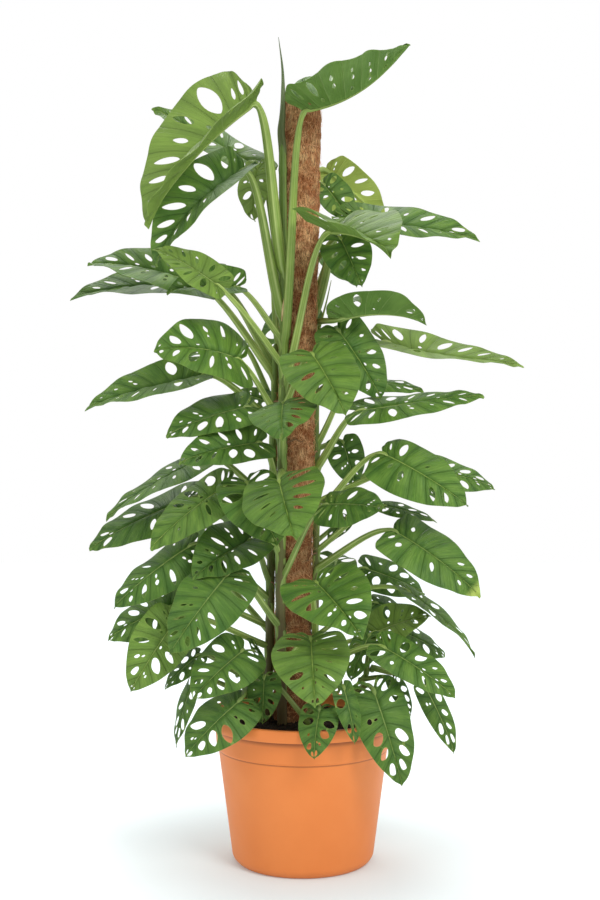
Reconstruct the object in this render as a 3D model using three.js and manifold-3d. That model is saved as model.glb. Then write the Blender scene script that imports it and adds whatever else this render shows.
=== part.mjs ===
// Potted monstera adansonii on a coir pole: a plastic nursery pot, potting soil, a coir sleeve on a
// wooden stake, climbing stems, and holed leaves on long petioles. Millimetres, +Z up, +Y away from
// the viewer. The origin is the middle of the pot's underside, on the surface it stands on.
import * as THREE from "three";
import { mergeVertices } from "three/addons/utils/BufferGeometryUtils.js";
import Module from "manifold-3d";

const wasm = await Module();
wasm.setup();

// Driving dimensions.
const GAP = 0.35;
const POT = {
  height: 250, rimRadius: 161, rimBottom: 230, rimRound: 3, mouthRadius: 151, neckRadius: 147.5,
  stepTop: 194, stepBottom: 190, stepRadius: 144.5, bodyRadius: 141.5, footRadius: 118, corner: 9,
  wall: 4, floor: 5, sides: 28, drainHoles: 4, drainRing: 70, drainRadius: 9,
};
const SOIL = { edge: 232, crown: 239, foot: 7, sides: 20 };
const POLE = {
  bottom: 40, top: 1285, radius: 29.5, lump: 1, ring: 150, sides: 12, bore: 15.5, stakeRadius: 15,
  stakeSides: 10, stakeProud: 6, lowX: -20, highX: 0,
};
const STEM = { sides: 6, step: 92, sway: 4, swayLength: 130, rootDepth: 80, rootShare: 0.8 };
const PETIOLE = { sides: 3, steps: 4, sheath: 1.75, bow: 0.05, knee: 0.2 };
const BLADE = { thickness: 0.9, notch: 0.03, curl: 20 };
const SPEAR = { stem: "stem_front_left", line: [[-36, 1258, -12], [-41, 1368, -8]], tipRadius: 0.8 };

// The front view is laid out on an upright plane through the pot's axis. The eye stands this far in
// front of that plane, so what lies nearer or further slides along its line of sight.
const EYE = { x: -5, distance: 2500, height: 775 };

// Climbing stems hug the pole. Their bearing round it goes from the first value at the soil to the
// second at the top, in degrees: 0 is to the right, -90 faces the viewer and 180 is to the left.
const STEMS = {
  stem_front_left: { bearing: [-112, -140], top: 1195, radius: [8.5, 6.5] },
  stem_right: { bearing: [-14, 62], top: 1010, radius: [6.5, 5] },
  stem_left: { bearing: [-176, -192], top: 865, radius: [7.5, 5.5] },
  stem_back_right: { bearing: [70, 94], top: 1050, radius: [8, 5.5] },
  stem_back_left: { bearing: [120, 136], top: 1000, radius: [8, 5.5] },
};

// Young shoots between the pole and the pot's edge: points of each stem from its root in the soil.
const SHOOTS = {
  shoot_right: { line: [[70, 0, 190], [76, -4, 255], [92, -14, 300], [118, -22, 330]], radius: 3.2 },
  shoot_front: { line: [[6, -78, 190], [8, -84, 252], [12, -98, 285]], radius: 3 },
  shoot_left: { line: [[-70, -14, 190], [-78, -20, 255], [-96, -34, 305], [-122, -44, 335]], radius: 3.2 },
  shoot_back: { line: [[10, 84, 190], [14, 96, 255], [20, 112, 300], [26, 132, 325]], radius: 3.2 },
};

// Where each leaf is: its name, its stem and the height of its node there, the start and tip of the
// blade in the front view as [right, up, behind], its width over its length, how far it leans from
// facing up to facing the viewer, its fold (below 0 the halves rise into a channel) and droop, all in
// degrees, the holes on each side, how far the lobes beside the notch reach where they are short, and
// how far behind the blade the petiole's knee lies, as a share of the petiole, where it bends sharply.
const LEAVES = [
  ["leaf_01", "stem_front_left", 880, [0, 1250, -92], [173, 1361, -124], 0.98, 12, -38, -52, 3, 1, 0.05],
  ["leaf_02", "stem_front_left", 990, [-78, 1263, -85], [-263, 1058, -105], 0.72, 27, -41, 26, 3, 0.3, 0.1],
  ["leaf_03", "stem_front_left", 915, [-97, 1153, -50], [-249, 994, -70], 0.56, 43, -36, 45, 3, 0.3, 0.12],
  ["leaf_04", "stem_back_left", 870, [-76, 1157, 72], [-250, 1256, 115], 0.46, 30, -12, 3, 2],
  ["leaf_05", "stem_back_left", 985, [-74, 1158, 8], [-82, 1066, 12], 0.86, 70, -12, 20, 2],
  ["leaf_06", "stem_back_right", 900, [38, 1152, 70], [137, 1066, 110], 0.68, -62, 12, 20, 3, 0.4],
  ["leaf_07", "stem_back_right", 1020, [34, 1128, 42], [80, 1064, 34], 0.84, 58, -18, 28, 3],
  ["leaf_08", "stem_right", 995, [62, 1040, -48], [98, 960, -98], 0.8, 38, -5, 20, 3],
  ["leaf_09", "stem_front_left", 800, [42, 1050, -85], [147, 1011, -235], 0.9, 4, -36, 25, 3],
  ["leaf_10", "stem_right", 920, [78, 1072, -15], [295, 1039, -45], 0.45, 34, -19, 6, 3],
  ["leaf_11", "stem_left", 815, [-167, 960, 24], [-359, 998, 12], 0.58, 38, -20, 30, 3],
  ["leaf_12", "stem_front_left", 830, [-140, 960, -116], [-250, 1024, -114], 0.66, 42, -16, 20, 2],
  ["leaf_13", "stem_back_left", 812, [-150, 966, 86], [-389, 943, 60], 0.45, 32, -22, 12, 2],
  ["leaf_14", "stem_front_left", 872, [-110, 958, -44], [-228, 950, -54], 0.7, 41, -34, 25, 2],
  ["leaf_15", "stem_front_left", 735, [-106, 838, -70], [-249, 854, -130], 0.88, 52, -14, 50, 3],
  ["leaf_16", "stem_left", 735, [-160, 813, -45], [-366, 757, -60], 0.48, 32, -25, 12, 2, 0.3],
  ["leaf_17", "stem_front_left", 708, [-92, 760, -60], [-230, 712, -105], 0.6, 43, -6, 25, 3],
  ["leaf_18", "stem_front_left", 760, [15, 848, -110], [72, 747, -190], 0.88, 25, -8, 25, 3],
  ["leaf_19", "stem_front_left", 680, [-33, 766, -120], [-34, 708, -245], 0.8, 12, -4, 28, 3],
  ["leaf_20", "stem_front_left", 620, [-72, 700, -85], [-209, 667, -135], 0.62, 45, -15, 25, 2],
  ["leaf_21", "stem_left", 600, [-160, 677, 15], [-333, 573, -12], 0.5, 16, -8, 15, 3],
  ["leaf_22", "stem_front_left", 560, [-125, 631, -60], [-258, 522, -105], 0.54, 43, -5, 25, 3],
  ["leaf_23", "stem_left", 540, [-178, 610, 40], [-360, 522, 20], 0.52, 38, 0, 20, 2],
  ["leaf_24", "stem_left", 470, [-88, 538, -40], [-185, 473, -110], 0.85, 35, -20, 25, 2],
  ["leaf_25", "stem_left", 440, [-185, 530, -50], [-320, 423, -75], 0.58, 50, 20, 25, 3],
  ["leaf_26", "stem_front_left", 653, [-40, 636, -132], [-14, 540, -240], 1.0, 25, -8, 25, 3],
  ["leaf_27", "stem_front_left", 520, [-95, 634, -86], [-42, 528, -150], 0.92, 25, -5, 20, 2],
  ["leaf_28", "stem_back_left", 380, [-200, 436, -25], [-330, 370, -30], 0.72, 47, 0, 25, 2],
  ["leaf_29", "stem_left", 360, [-213, 403, -80], [-291, 281, -125], 0.7, 50, -2, 25, 3],
  ["leaf_30", "stem_front_left", 400, [-123, 483, -105], [-225, 345, -165], 0.7, 46, 10, 30, 2],
  ["leaf_31", "stem_right", 380, [22, 466, -115], [98, 374, -220], 0.94, 25, -18, 25, 3],
  ["leaf_32", "stem_front_left", 330, [13, 372, -135], [20, 257, -235], 0.92, 3, -5, 25, 3],
  ["leaf_33", "stem_front_left", 480, [38, 597, -90], [138, 591, -150], 0.76, 47, 2, 20, 2],
  ["leaf_34", "stem_right", 580, [133, 682, -70], [277, 594, -125], 0.62, 52, 3, 30, 2, 0.5],
  ["leaf_35", "stem_right", 600, [187, 660, -35], [323, 625, -50], 0.56, 45, 4, 20, 2],
  ["leaf_36", "stem_right", 780, [137, 867, 24], [368, 833, -14], 0.4, 26, -24, -17, 3],
  ["leaf_37", "stem_right", 900, [63, 905, -60], [207, 899, -70], 0.8, -5, -45, 38, 3],
  ["leaf_38", "stem_right", 805, [58, 888, -25], [132, 772, -40], 0.72, 60, -5, 25, 2],
  ["leaf_39", "stem_right", 660, [95, 753, -48], [302, 781, -62], 0.44, 28, -4, 4, 3],
  ["leaf_40", "stem_right", 690, [66, 702, 24], [88, 626, 20], 0.85, 60, -5, 15, 2],
  ["leaf_41", "stem_right", 490, [151, 553, -70], [299, 441, -115], 0.6, 40, -8, 28, 3, 0.3],
  ["leaf_42", "stem_back_right", 430, [173, 452, -20], [293, 341, -35], 0.42, 8, -12, 20, 2],
  ["leaf_43", "stem_back_right", 330, [120, 382, -20], [214, 412, -35], 0.85, 45, -14, 20, 2],
  ["leaf_44", "stem_right", 320, [133, 358, -80], [257, 272, -110], 0.55, 40, -8, 25, 3],
];

// Smaller leaves share a node with the stem that they grow from. Each row starts with that stem and
// the height of the leaf's node on it, or on a shoot the share of the shoot's length.
const SMALL_LEAVES = [
  ["stem_left", 690, [-58, 768, 20], [-118, 785, 45], 0.7, 40, -10, 15, 1],
  ["stem_right", 700, [89, 803, 8], [203, 787, 24], 0.5, 28, 0, 15, 1],
  ["stem_right", 520, [135, 595, -20], [225, 568, -35], 0.5, 25, 0, 15, 1],
  ["stem_back_right", 850, [50, 1010, 130], [90, 960, 220], 0.6, -10, -5, 25, 1],
  ["stem_back_right", 780, [40, 880, 115], [80, 790, 230], 0.6, -10, -5, 25, 1],
  ["stem_back_right", 540, [150, 668, 110], [238, 600, 180], 0.55, -15, -5, 25, 1],
  ["stem_back_right", 475, [55, 505, 120], [45, 420, 205], 0.6, -15, -5, 25, 1],
  ["stem_back_right", 370, [104, 490, 50], [206, 447, 62], 0.66, 48, 0, 20, 1],
  ["stem_back_right", 352, [122, 432, 30], [190, 400, 40], 0.75, 35, 0, 20, 1],
  ["stem_back_right", 300, [168, 382, 15], [240, 342, 30], 0.85, 35, 0, 20, 1],
  ["stem_back_right", 510, [72, 574, 30], [42, 532, 15], 0.8, 20, 0, 20, 1],
  ["stem_back_left", 790, [-10, 915, 110], [-40, 790, 220], 0.6, 0, -5, 25, 1],
  ["stem_back_left", 740, [-110, 870, 90], [-200, 840, 170], 0.55, -15, -5, 25, 1],
  ["stem_back_left", 480, [-130, 590, 100], [-220, 510, 180], 0.6, -15, -5, 25, 1],
  ["stem_back_left", 360, [-150, 470, 120], [-215, 380, 200], 0.6, -10, -5, 25, 1],
  ["shoot_right", 0.97, [206, 288, -20], [256, 176, -40], 0.4, 45, 0, 25, 1],
  ["shoot_right", 0.6, [118, 285, -110], [168, 121, -160], 0.6, 30, 0, 25, 1],
  ["shoot_right", 0.88, [112, 378, -30], [80, 300, -62], 0.75, 10, 0, 25, 1],
  ["shoot_right", 0.78, [152, 302, -55], [182, 238, -66], 0.5, 45, 0, 20, 1],
  ["shoot_front", 0.9, [28, 253, -150], [18, 167, -188], 0.8, 0, 0, 35, 1],
  ["shoot_front", 0.75, [68, 290, -145], [88, 193, -178], 0.5, 0, 0, 20, 1],
  ["shoot_front", 0.6, [-65, 307, -90], [-68, 227, -120], 0.75, 0, 0, 20, 1],
  ["shoot_left", 0.97, [-100, 352, -95], [-186, 270, -160], 0.85, 35, -5, 25, 1],
  ["shoot_left", 0.88, [-176, 344, -50], [-234, 286, -60], 0.6, 35, 0, 20, 1],
  ["shoot_left", 0.45, [-66, 336, -30], [-93, 374, -42], 0.8, 35, 0, 15, 1],
  ["shoot_left", 0.75, [-105, 268, -125], [-199, 172, -165], 0.8, 38, 10, 25, 1],
  ["shoot_left", 0.55, [-184, 300, -70], [-216, 187, -78], 0.42, 20, 0, 15, 1],
  ["shoot_back", 0.97, [20, 340, 150], [40, 255, 215], 0.7, 0, 0, 30, 1],
  ["shoot_back", 0.7, [-60, 330, 140], [-110, 250, 190], 0.65, -10, 0, 30, 1],
];

const COLOURS = {
  pot: [0xd9772f, 0.45], soil: [0x241c17, 0.95], coir: [0x8a5f40, 0.95], stake: [0xb08a5c, 0.8],
  stem: [0x6f8a3c, 0.6], leaf: [0x2f7a33, 0.4],
};

const v3 = (x, y, z) => new THREE.Vector3(x, y, z);
const rad = THREE.MathUtils.degToRad;
const UP = v3(0, 0, 1);

function finish([colour, roughness]) {
  return new THREE.MeshStandardMaterial({ color: colour, roughness, metalness: 0 });
}

// A closed geometry as a solid, and a solid as a geometry.
function solid(geometry) {
  const plain = geometry.clone();
  plain.deleteAttribute("normal");
  plain.deleteAttribute("uv");
  const merged = mergeVertices(plain.index ? plain.toNonIndexed() : plain, 1e-4);
  const mesh = new wasm.Mesh({
    numProp: 3,
    vertProperties: new Float32Array(merged.attributes.position.array),
    triVerts: new Uint32Array(merged.index.array),
  });
  return new wasm.Manifold(mesh);
}

function geometryOf(body) {
  const { vertProperties, triVerts } = body.getMesh();
  const geometry = new THREE.BufferGeometry();
  geometry.setAttribute("position", new THREE.BufferAttribute(vertProperties, 3));
  geometry.setIndex(new THREE.BufferAttribute(triVerts, 1));
  return geometry;
}

// The largest body of a solid: a cut may leave scraps, and they are dropped.
function largest(body) {
  return body.decompose().reduce((best, part) => (part.volume() > best.volume() ? part : best));
}

function geometryFrom(points, faces) {
  const geometry = new THREE.BufferGeometry().setFromPoints(points);
  geometry.setIndex(faces.flat());
  return geometry;
}

// A closed round bar along a curve, with its radius given along its length.
function bar(curve, steps, sides, radiusAt) {
  const { normals, binormals } = curve.computeFrenetFrames(steps, false);
  const points = [];
  const faces = [];
  for (let i = 0; i <= steps; i += 1) {
    const centre = curve.getPointAt(i / steps);
    const radius = radiusAt(i / steps);
    for (let k = 0; k < sides; k += 1) {
      const angle = (2 * Math.PI * k) / sides;
      points.push(centre.clone()
        .addScaledVector(normals[i], radius * Math.cos(angle))
        .addScaledVector(binormals[i], radius * Math.sin(angle)));
    }
  }
  for (let i = 0; i < steps; i += 1) {
    for (let k = 0; k < sides; k += 1) {
      const [a, b] = [i * sides + k, i * sides + ((k + 1) % sides)];
      faces.push([a, b, b + sides], [a, b + sides, a + sides]);
    }
  }
  for (let k = 1; k < sides - 1; k += 1) {
    const end = steps * sides;
    faces.push([0, k + 1, k], [end, end + k, end + k + 1]);
  }
  return geometryFrom(points, faces);
}

// A turned piece from its closed outline of [radius, height] points.
function turned(outline, sides) {
  const closed = [...outline, outline[0]].map(([radius, height]) => new THREE.Vector2(radius, height));
  return new THREE.LatheGeometry(closed, sides).rotateX(Math.PI / 2);
}

// The pole leans a little, and everything on it follows.
function poleCentre(height) {
  const share = (height - SOIL.crown) / (POLE.top - SOIL.crown);
  return v3(THREE.MathUtils.lerp(POLE.lowX, POLE.highX, share), 0, height);
}

function poleLine(from, to) {
  return new THREE.LineCurve3(poleCentre(from), poleCentre(to));
}

// A stem's centre line: on the pole's skin, with its bearing turning as it climbs.
function stemPoint(stem, height) {
  const share = (height - SOIL.crown) / (stem.top - SOIL.crown);
  const sway = STEM.sway * Math.sin(height / STEM.swayLength + stem.bearing[0]);
  const bearing = rad(THREE.MathUtils.lerp(...stem.bearing, share) + sway);
  const reach = POLE.radius + POLE.lump + stem.radius[0] + 2 * GAP;
  return poleCentre(height).add(v3(reach * Math.cos(bearing), reach * Math.sin(bearing), 0));
}

// A petiole starts on the side of its stem that faces its blade.
function rootOn(stem, height, start) {
  const centre = stemPoint(stem, height);
  const aside = start.clone().sub(centre).setZ(0).setLength(STEM.rootShare * stem.radius[1]);
  return centre.add(aside);
}

function stemBar(stem, extra = 0) {
  const bottom = SOIL.crown - STEM.rootDepth - extra;
  const count = Math.round((stem.top - bottom) / STEM.step);
  const heights = Array.from({ length: count + 1 }, (_, i) => bottom + (i / count) * (stem.top - bottom));
  const curve = new THREE.CatmullRomCurve3(heights.map((height) => stemPoint(stem, height)));
  const radius = (share) => THREE.MathUtils.lerp(...stem.radius, share) + extra;
  return solid(bar(curve, count, STEM.sides, radius));
}

function shootBar(shoot, extra = 0) {
  const curve = new THREE.CatmullRomCurve3(shoot.line.map((point) => v3(...point)));
  return solid(bar(curve, 5, 5, (share) => shoot.radius * (1 - 0.3 * share) + extra));
}

// A point of the front view at its own depth.
function seen([right, up, behind]) {
  const spread = (EYE.distance + behind) / EYE.distance;
  return v3(EYE.x + (right - EYE.x) * spread, behind, EYE.height + (up - EYE.height) * spread);
}

// The leaf's flat outline, from beside the notch where the petiole joins, round the basal lobe and up
// to the tip: how far out, as a share of half the width, and how far along, as a share of the length.
const EDGE = [[0.4, -0.13], [0.86, -0.06], [1, 0.17], [0.95, 0.43], [0.69, 0.7], [0.26, 0.92]];
const EDGE_SMALL = [[0.6, -0.12], [1, 0.12], [0.91, 0.48], [0.4, 0.86]];
const RIB = [0.32, 0.66];

// A place between two side veins: a share of the way from the midrib out to the edge.
function betweenVeins(edge, along, out) {
  const place = along * (edge.length - 1);
  const i = Math.min(Math.floor(place), edge.length - 2);
  const outer = edge[i].map((value, axis) => THREE.MathUtils.lerp(value, edge[i + 1][axis], place - i));
  const inner = 0.04 + 0.74 * along;
  return [outer[0] * out, THREE.MathUtils.lerp(inner, outer[1], out)];
}

// Holes are long slits between the side veins, widest halfway out.
function holesOf(leaf, side) {
  return Array.from({ length: leaf.holes }, (_, i) => {
    const draw = Math.sin(leaf.seed * 12.9 + i * 4.1 + side * 7.7);
    const along = (i + 0.75) / (leaf.holes + 0.55);
    const wide = (0.16 + 0.03 * draw) / leaf.holes;
    const corners = [[0, 0.26], [wide, 0.52], [0.3 * wide, 0.78 + 0.04 * draw], [-wide, 0.56]];
    return corners.map(([shift, out]) => betweenVeins(leaf.edge, along + shift, out));
  });
}

// Flips inner edges of a flat net until every pair of triangles is as even as it can be.
function evenOut(points, faces) {
  const key = (a, b) => `${Math.min(a, b)} ${Math.max(a, b)}`;
  const cross = (a, b, c) => (b[0] - a[0]) * (c[1] - a[1]) - (b[1] - a[1]) * (c[0] - a[0]);
  const cosine = (a, b, apex) => {
    const [p, q] = [[a[0] - apex[0], a[1] - apex[1]], [b[0] - apex[0], b[1] - apex[1]]];
    return (p[0] * q[0] + p[1] * q[1]) / (Math.hypot(...p) * Math.hypot(...q));
  };
  for (let round = 0; round < 8; round += 1) {
    const owners = new Map();
    faces.forEach((face, f) => face.forEach((a, i) => {
      const edge = key(a, face[(i + 1) % 3]);
      owners.set(edge, [...(owners.get(edge) ?? []), f]);
    }));
    const touched = new Set();
    for (const [edge, pair] of owners) {
      if (pair.length !== 2 || pair.some((f) => touched.has(f))) continue;
      const [a, b] = edge.split(" ").map(Number);
      const [c, d] = pair.map((f) => faces[f].find((corner) => corner !== a && corner !== b));
      const [pa, pb, pc, pd] = [a, b, c, d].map((corner) => points[corner]);
      const uneven = Math.acos(cosine(pa, pb, pc)) + Math.acos(cosine(pa, pb, pd)) > Math.PI + 1e-6;
      const convex = cross(pc, pd, pa) * cross(pc, pd, pb) < -1e-9;
      if (!uneven || !convex) continue;
      faces[pair[0]] = cross(pc, pd, pa) > 0 ? [c, d, a] : [d, c, a];
      faces[pair[1]] = cross(pc, pd, pb) > 0 ? [c, d, b] : [d, c, b];
      pair.forEach((f) => touched.add(f));
    }
    if (touched.size === 0) break;
  }
  return faces;
}

// The flat net of a blade: both halves meet at the midrib, and each is split round its holes.
function flatNet(leaf) {
  const points = [];
  const faces = [];
  const indexOf = (point) => {
    const found = points.findIndex(([x, y]) => Math.hypot(x - point[0], y - point[1]) < 1e-6);
    return found < 0 ? points.push(point) - 1 : found;
  };
  for (const side of [1, -1]) {
    const scale = ([out, along]) => [side * out * leaf.width / 2, along * leaf.length];
    const rib = [...RIB].reverse().map((along) => [0, along]);
    const contour = [[0, 0], ...leaf.edge, [0, 1], ...rib].map(scale);
    const holes = holesOf(leaf, side).map((hole) => hole.map(scale));
    const flat = (loop) => loop.map((point) => new THREE.Vector2(...point));
    const all = [contour, ...holes].flat();
    const triangles = THREE.ShapeUtils.triangulateShape(flat(contour), holes.map(flat)).map(([a, b, c]) => {
      const [p, q, r] = [all[a], all[b], all[c]];
      const turn = (q[0] - p[0]) * (r[1] - p[1]) - (q[1] - p[1]) * (r[0] - p[0]);
      return turn > 0 ? [a, b, c] : [a, c, b];
    });
    const index = all.map(indexOf);
    faces.push(...evenOut(all, triangles).map((face) => face.map((corner) => index[corner])));
  }
  return { points, faces };
}

// The form of a blade in space: the midrib is an arc that droops from start to tip, and each half
// folds away from it and curls.
function bladeForm(leaf) {
  const { droop, fold } = leaf;
  const chord = leaf.tip.clone().sub(leaf.start);
  const along = chord.clone().normalize();
  const upward = UP.clone().addScaledVector(along, -UP.dot(along)).normalize();
  const sideward = along.clone().cross(upward);
  sideward.multiplyScalar(sideward.y > 0 ? -1 : 1);
  const normal = upward.multiplyScalar(Math.cos(leaf.lean)).addScaledVector(sideward, Math.sin(leaf.lean));
  const across = along.clone().cross(normal);
  const length = (chord.length() * (droop / 2)) / Math.sin(droop / 2);
  const ribPoint = (run) => {
    const share = run / length;
    const turn = droop * (0.5 - share);
    const radius = length / droop;
    return leaf.start.clone()
      .addScaledVector(along, radius * (Math.sin(droop / 2) - Math.sin(turn)))
      .addScaledVector(normal, radius * (Math.cos(turn) - Math.cos(droop / 2)));
  };
  const ribNormal = (run) => {
    const turn = droop * (0.5 - run / length);
    return normal.clone().multiplyScalar(Math.cos(turn)).addScaledVector(along, -Math.sin(turn));
  };
  const half = leaf.ratio * length / 2;
  const point = ([out, run]) => {
    const reach = Math.abs(out) / half;
    const angle = fold + rad(BLADE.curl) * reach / 2;
    const drop = -Math.abs(out) * Math.sin(angle);
    return ribPoint(run)
      .addScaledVector(across, out * Math.cos(angle))
      .addScaledVector(ribNormal(run), drop);
  };
  const faceAt = ([out, run]) => {
    const step = 0.5;
    const sideways = point([out + step, run]).sub(point([out - step, run]));
    const forwards = point([out, run + step]).sub(point([out, run - step]));
    return sideways.cross(forwards).normalize();
  };
  return { length, point, faceAt, ribPoint, ribNormal };
}

function bladeSolid(leaf, form) {
  const { points, faces } = flatNet({ ...leaf, length: form.length, width: leaf.ratio * form.length });
  const half = BLADE.thickness / 2;
  const upper = points.map((flat) => form.point(flat).addScaledVector(form.faceAt(flat), half));
  const lower = points.map((flat) => form.point(flat).addScaledVector(form.faceAt(flat), -half));
  const count = points.length;
  const edges = new Set(faces.flatMap(([a, b, c]) => [`${a} ${b}`, `${b} ${c}`, `${c} ${a}`]));
  const walls = [...edges].map((edge) => edge.split(" ").map(Number))
    .filter(([a, b]) => !edges.has(`${b} ${a}`))
    .flatMap(([a, b]) => [[b, a, a + count], [b, a + count, b + count]]);
  const under = faces.map(([a, b, c]) => [a + count, c + count, b + count]);
  return solid(geometryFrom([...upper, ...lower], [...faces, ...under, ...walls]));
}

// A petiole leaves its stem in a sheath and rises nearly straight. Then it bends at a knee, and comes
// to the blade's start in line with the midrib.
function petioleSolid(root, form, radius, kneeShare) {
  const end = form.ribPoint(form.length * BLADE.notch);
  const reach = end.clone().sub(root);
  const distance = reach.length();
  const rise = root.clone().addScaledVector(reach, 0.4).addScaledVector(UP, PETIOLE.bow * distance);
  const knee = form.ribPoint(-kneeShare * distance);
  const curve = new THREE.CubicBezierCurve3(root, rise, knee, end);
  const thick = (share) => radius * (1 + (PETIOLE.sheath - 1) * (1 - share) ** 2);
  return solid(bar(curve, PETIOLE.steps, PETIOLE.sides, thick));
}

function leafFrom(row, index) {
  const [name, stem, node, start, tip, ratio, lean, fold, droop, holes, lobes = 1, knee = PETIOLE.knee] = row;
  const edge = (holes > 2 ? EDGE : EDGE_SMALL).map(([out, along]) => [out, along < 0 ? along * lobes : along]);
  return {
    name, stem, node, start: seen(start), tip: seen(tip), ratio, lean: rad(lean), fold: rad(fold),
    droop: rad(droop), holes, seed: index + 1, edge, knee,
  };
}

function leafSolid(leaf, root) {
  const form = bladeForm(leaf);
  const radius = 2.2 + form.length / 100;
  return bladeSolid(leaf, form).add(petioleSolid(root, form, radius, leaf.knee));
}

function addMesh(group, name, body, colours) {
  const mesh = new THREE.Mesh(geometryOf(body), finish(colours));
  mesh.name = name;
  group.add(mesh);
}

function potSolid() {
  const inner = (height) => {
    const share = (height - POT.corner) / (POT.stepBottom - POT.corner);
    return THREE.MathUtils.lerp(POT.footRadius, POT.bodyRadius, share) - POT.wall;
  };
  const outline = [
    [0, 0], [POT.footRadius - POT.corner, 0], [POT.footRadius - 0.3 * POT.corner, 0.3 * POT.corner],
    [POT.footRadius, POT.corner], [POT.bodyRadius, POT.stepBottom], [POT.stepRadius, POT.stepTop],
    [POT.neckRadius, POT.rimBottom], [POT.rimRadius, POT.rimBottom],
    [POT.rimRadius, POT.height - POT.rimRound], [POT.rimRadius - POT.rimRound, POT.height],
    [POT.mouthRadius, POT.height], [POT.neckRadius - POT.wall, POT.rimBottom - POT.wall],
    [inner(POT.stepBottom), POT.stepBottom], [inner(POT.corner), POT.floor], [0, POT.floor],
  ];
  let pot = solid(turned(outline, POT.sides));
  for (let i = 0; i < POT.drainHoles; i += 1) {
    const angle = (2 * Math.PI * (i + 0.5)) / POT.drainHoles;
    const hole = new THREE.CylinderGeometry(POT.drainRadius, POT.drainRadius, 3 * POT.floor, 7)
      .rotateX(Math.PI / 2)
      .translate(POT.drainRing * Math.cos(angle), POT.drainRing * Math.sin(angle), POT.floor / 2);
    pot = pot.subtract(solid(hole));
  }
  return pot;
}

// The soil fills the pot to below the rim, a little higher round the stems.
function soilSolid(cutters) {
  const wallAt = (height) => {
    const share = (height - POT.corner) / (POT.stepBottom - POT.corner);
    return THREE.MathUtils.lerp(POT.footRadius, POT.bodyRadius, share) - POT.wall - GAP - 1.4;
  };
  const outline = [
    [0, SOIL.foot], [wallAt(POT.corner) - 2, SOIL.foot], [wallAt(POT.stepBottom), POT.stepBottom],
    [POT.neckRadius - POT.wall - 3, SOIL.edge - 4], [90, SOIL.edge + 1], [50, SOIL.crown], [0, SOIL.crown],
  ];
  return cutters.reduce((soil, cutter) => soil.subtract(cutter), solid(turned(outline, SOIL.sides)));
}

function sleeveBar(extra = 0) {
  const length = POLE.top - POLE.bottom;
  const line = poleLine(POLE.bottom - extra, POLE.top + extra);
  const radius = (share) => POLE.radius + POLE.lump * Math.sin(share * length * 0.071) + extra;
  return solid(bar(line, Math.round(length / POLE.ring), POLE.sides, radius));
}

function stakeBar(radius, extra = 0) {
  const line = poleLine(POLE.bottom - extra, POLE.top + POLE.stakeProud + extra);
  return solid(bar(line, 1, POLE.stakeSides, () => radius));
}

// A new leaf still rolled up: a spear that tapers from the top of its stem.
function spearSolid(stem) {
  const foot = stemPoint(stem, stem.top - 30);
  const [swell, tip] = SPEAR.line.map(seen);
  const curve = new THREE.CatmullRomCurve3([foot, stemPoint(stem, stem.top), swell, tip]);
  const radius = (share) => THREE.MathUtils.lerp(stem.radius[1] * 0.9, SPEAR.tipRadius, share ** 1.5);
  return solid(bar(curve, 6, 6, radius));
}

const group = new THREE.Group();
const sleeveCutter = sleeveBar(GAP);
const stemCutters = {};
for (const [name, stem] of Object.entries(STEMS)) stemCutters[name] = stemBar(stem, GAP);
const shootCutters = Object.values(SHOOTS).map((shoot) => shootBar(shoot, GAP));

addMesh(group, "pot", potSolid(), COLOURS.pot);
const soilCutters = [sleeveCutter, ...Object.values(stemCutters), ...shootCutters];
addMesh(group, "soil", soilSolid(soilCutters), COLOURS.soil);
addMesh(group, "coir_sleeve", sleeveBar().subtract(stakeBar(POLE.bore, 1)), COLOURS.coir);
addMesh(group, "stake", stakeBar(POLE.stakeRadius), COLOURS.stake);

function smallLeavesOn(name, rootAt) {
  return SMALL_LEAVES.filter(([stem]) => stem === name).map((row, index) => {
    const leaf = leafFrom([name, ...row], index);
    return leafSolid(leaf, rootAt(leaf)).subtract(sleeveCutter);
  });
}

for (const [name, stem] of Object.entries(STEMS)) {
  const leaves = smallLeavesOn(name, (leaf) => rootOn(stem, leaf.node, leaf.start));
  const spear = name === SPEAR.stem ? [spearSolid(stem)] : [];
  const body = [...spear, ...leaves].reduce((whole, part) => whole.add(part), stemBar(stem));
  addMesh(group, name, largest(body), COLOURS.stem);
}

for (const [name, shoot] of Object.entries(SHOOTS)) {
  const curve = new THREE.CatmullRomCurve3(shoot.line.map((point) => v3(...point)));
  const leaves = smallLeavesOn(name, (leaf) => curve.getPointAt(leaf.node));
  addMesh(group, name, largest(leaves.reduce((whole, part) => whole.add(part), shootBar(shoot))), COLOURS.leaf);
}

LEAVES.forEach((row, index) => {
  const leaf = leafFrom(row, index);
  const body = leafSolid(leaf, rootOn(STEMS[leaf.stem], leaf.node, leaf.start))
    .subtract(stemCutters[leaf.stem])
    .subtract(sleeveCutter);
  addMesh(group, leaf.name, largest(body), COLOURS.leaf);
});

export default group;
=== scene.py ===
"""A potted monstera adansonii on a coir pole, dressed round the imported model.

Sizes are in millimetres and are turned into metres when a mesh is made. Materials, floor and lights are set
in metres.
"""

import math

import bpy
import numpy as np
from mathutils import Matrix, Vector
from mathutils.geometry import delaunay_2d_cdt


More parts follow.
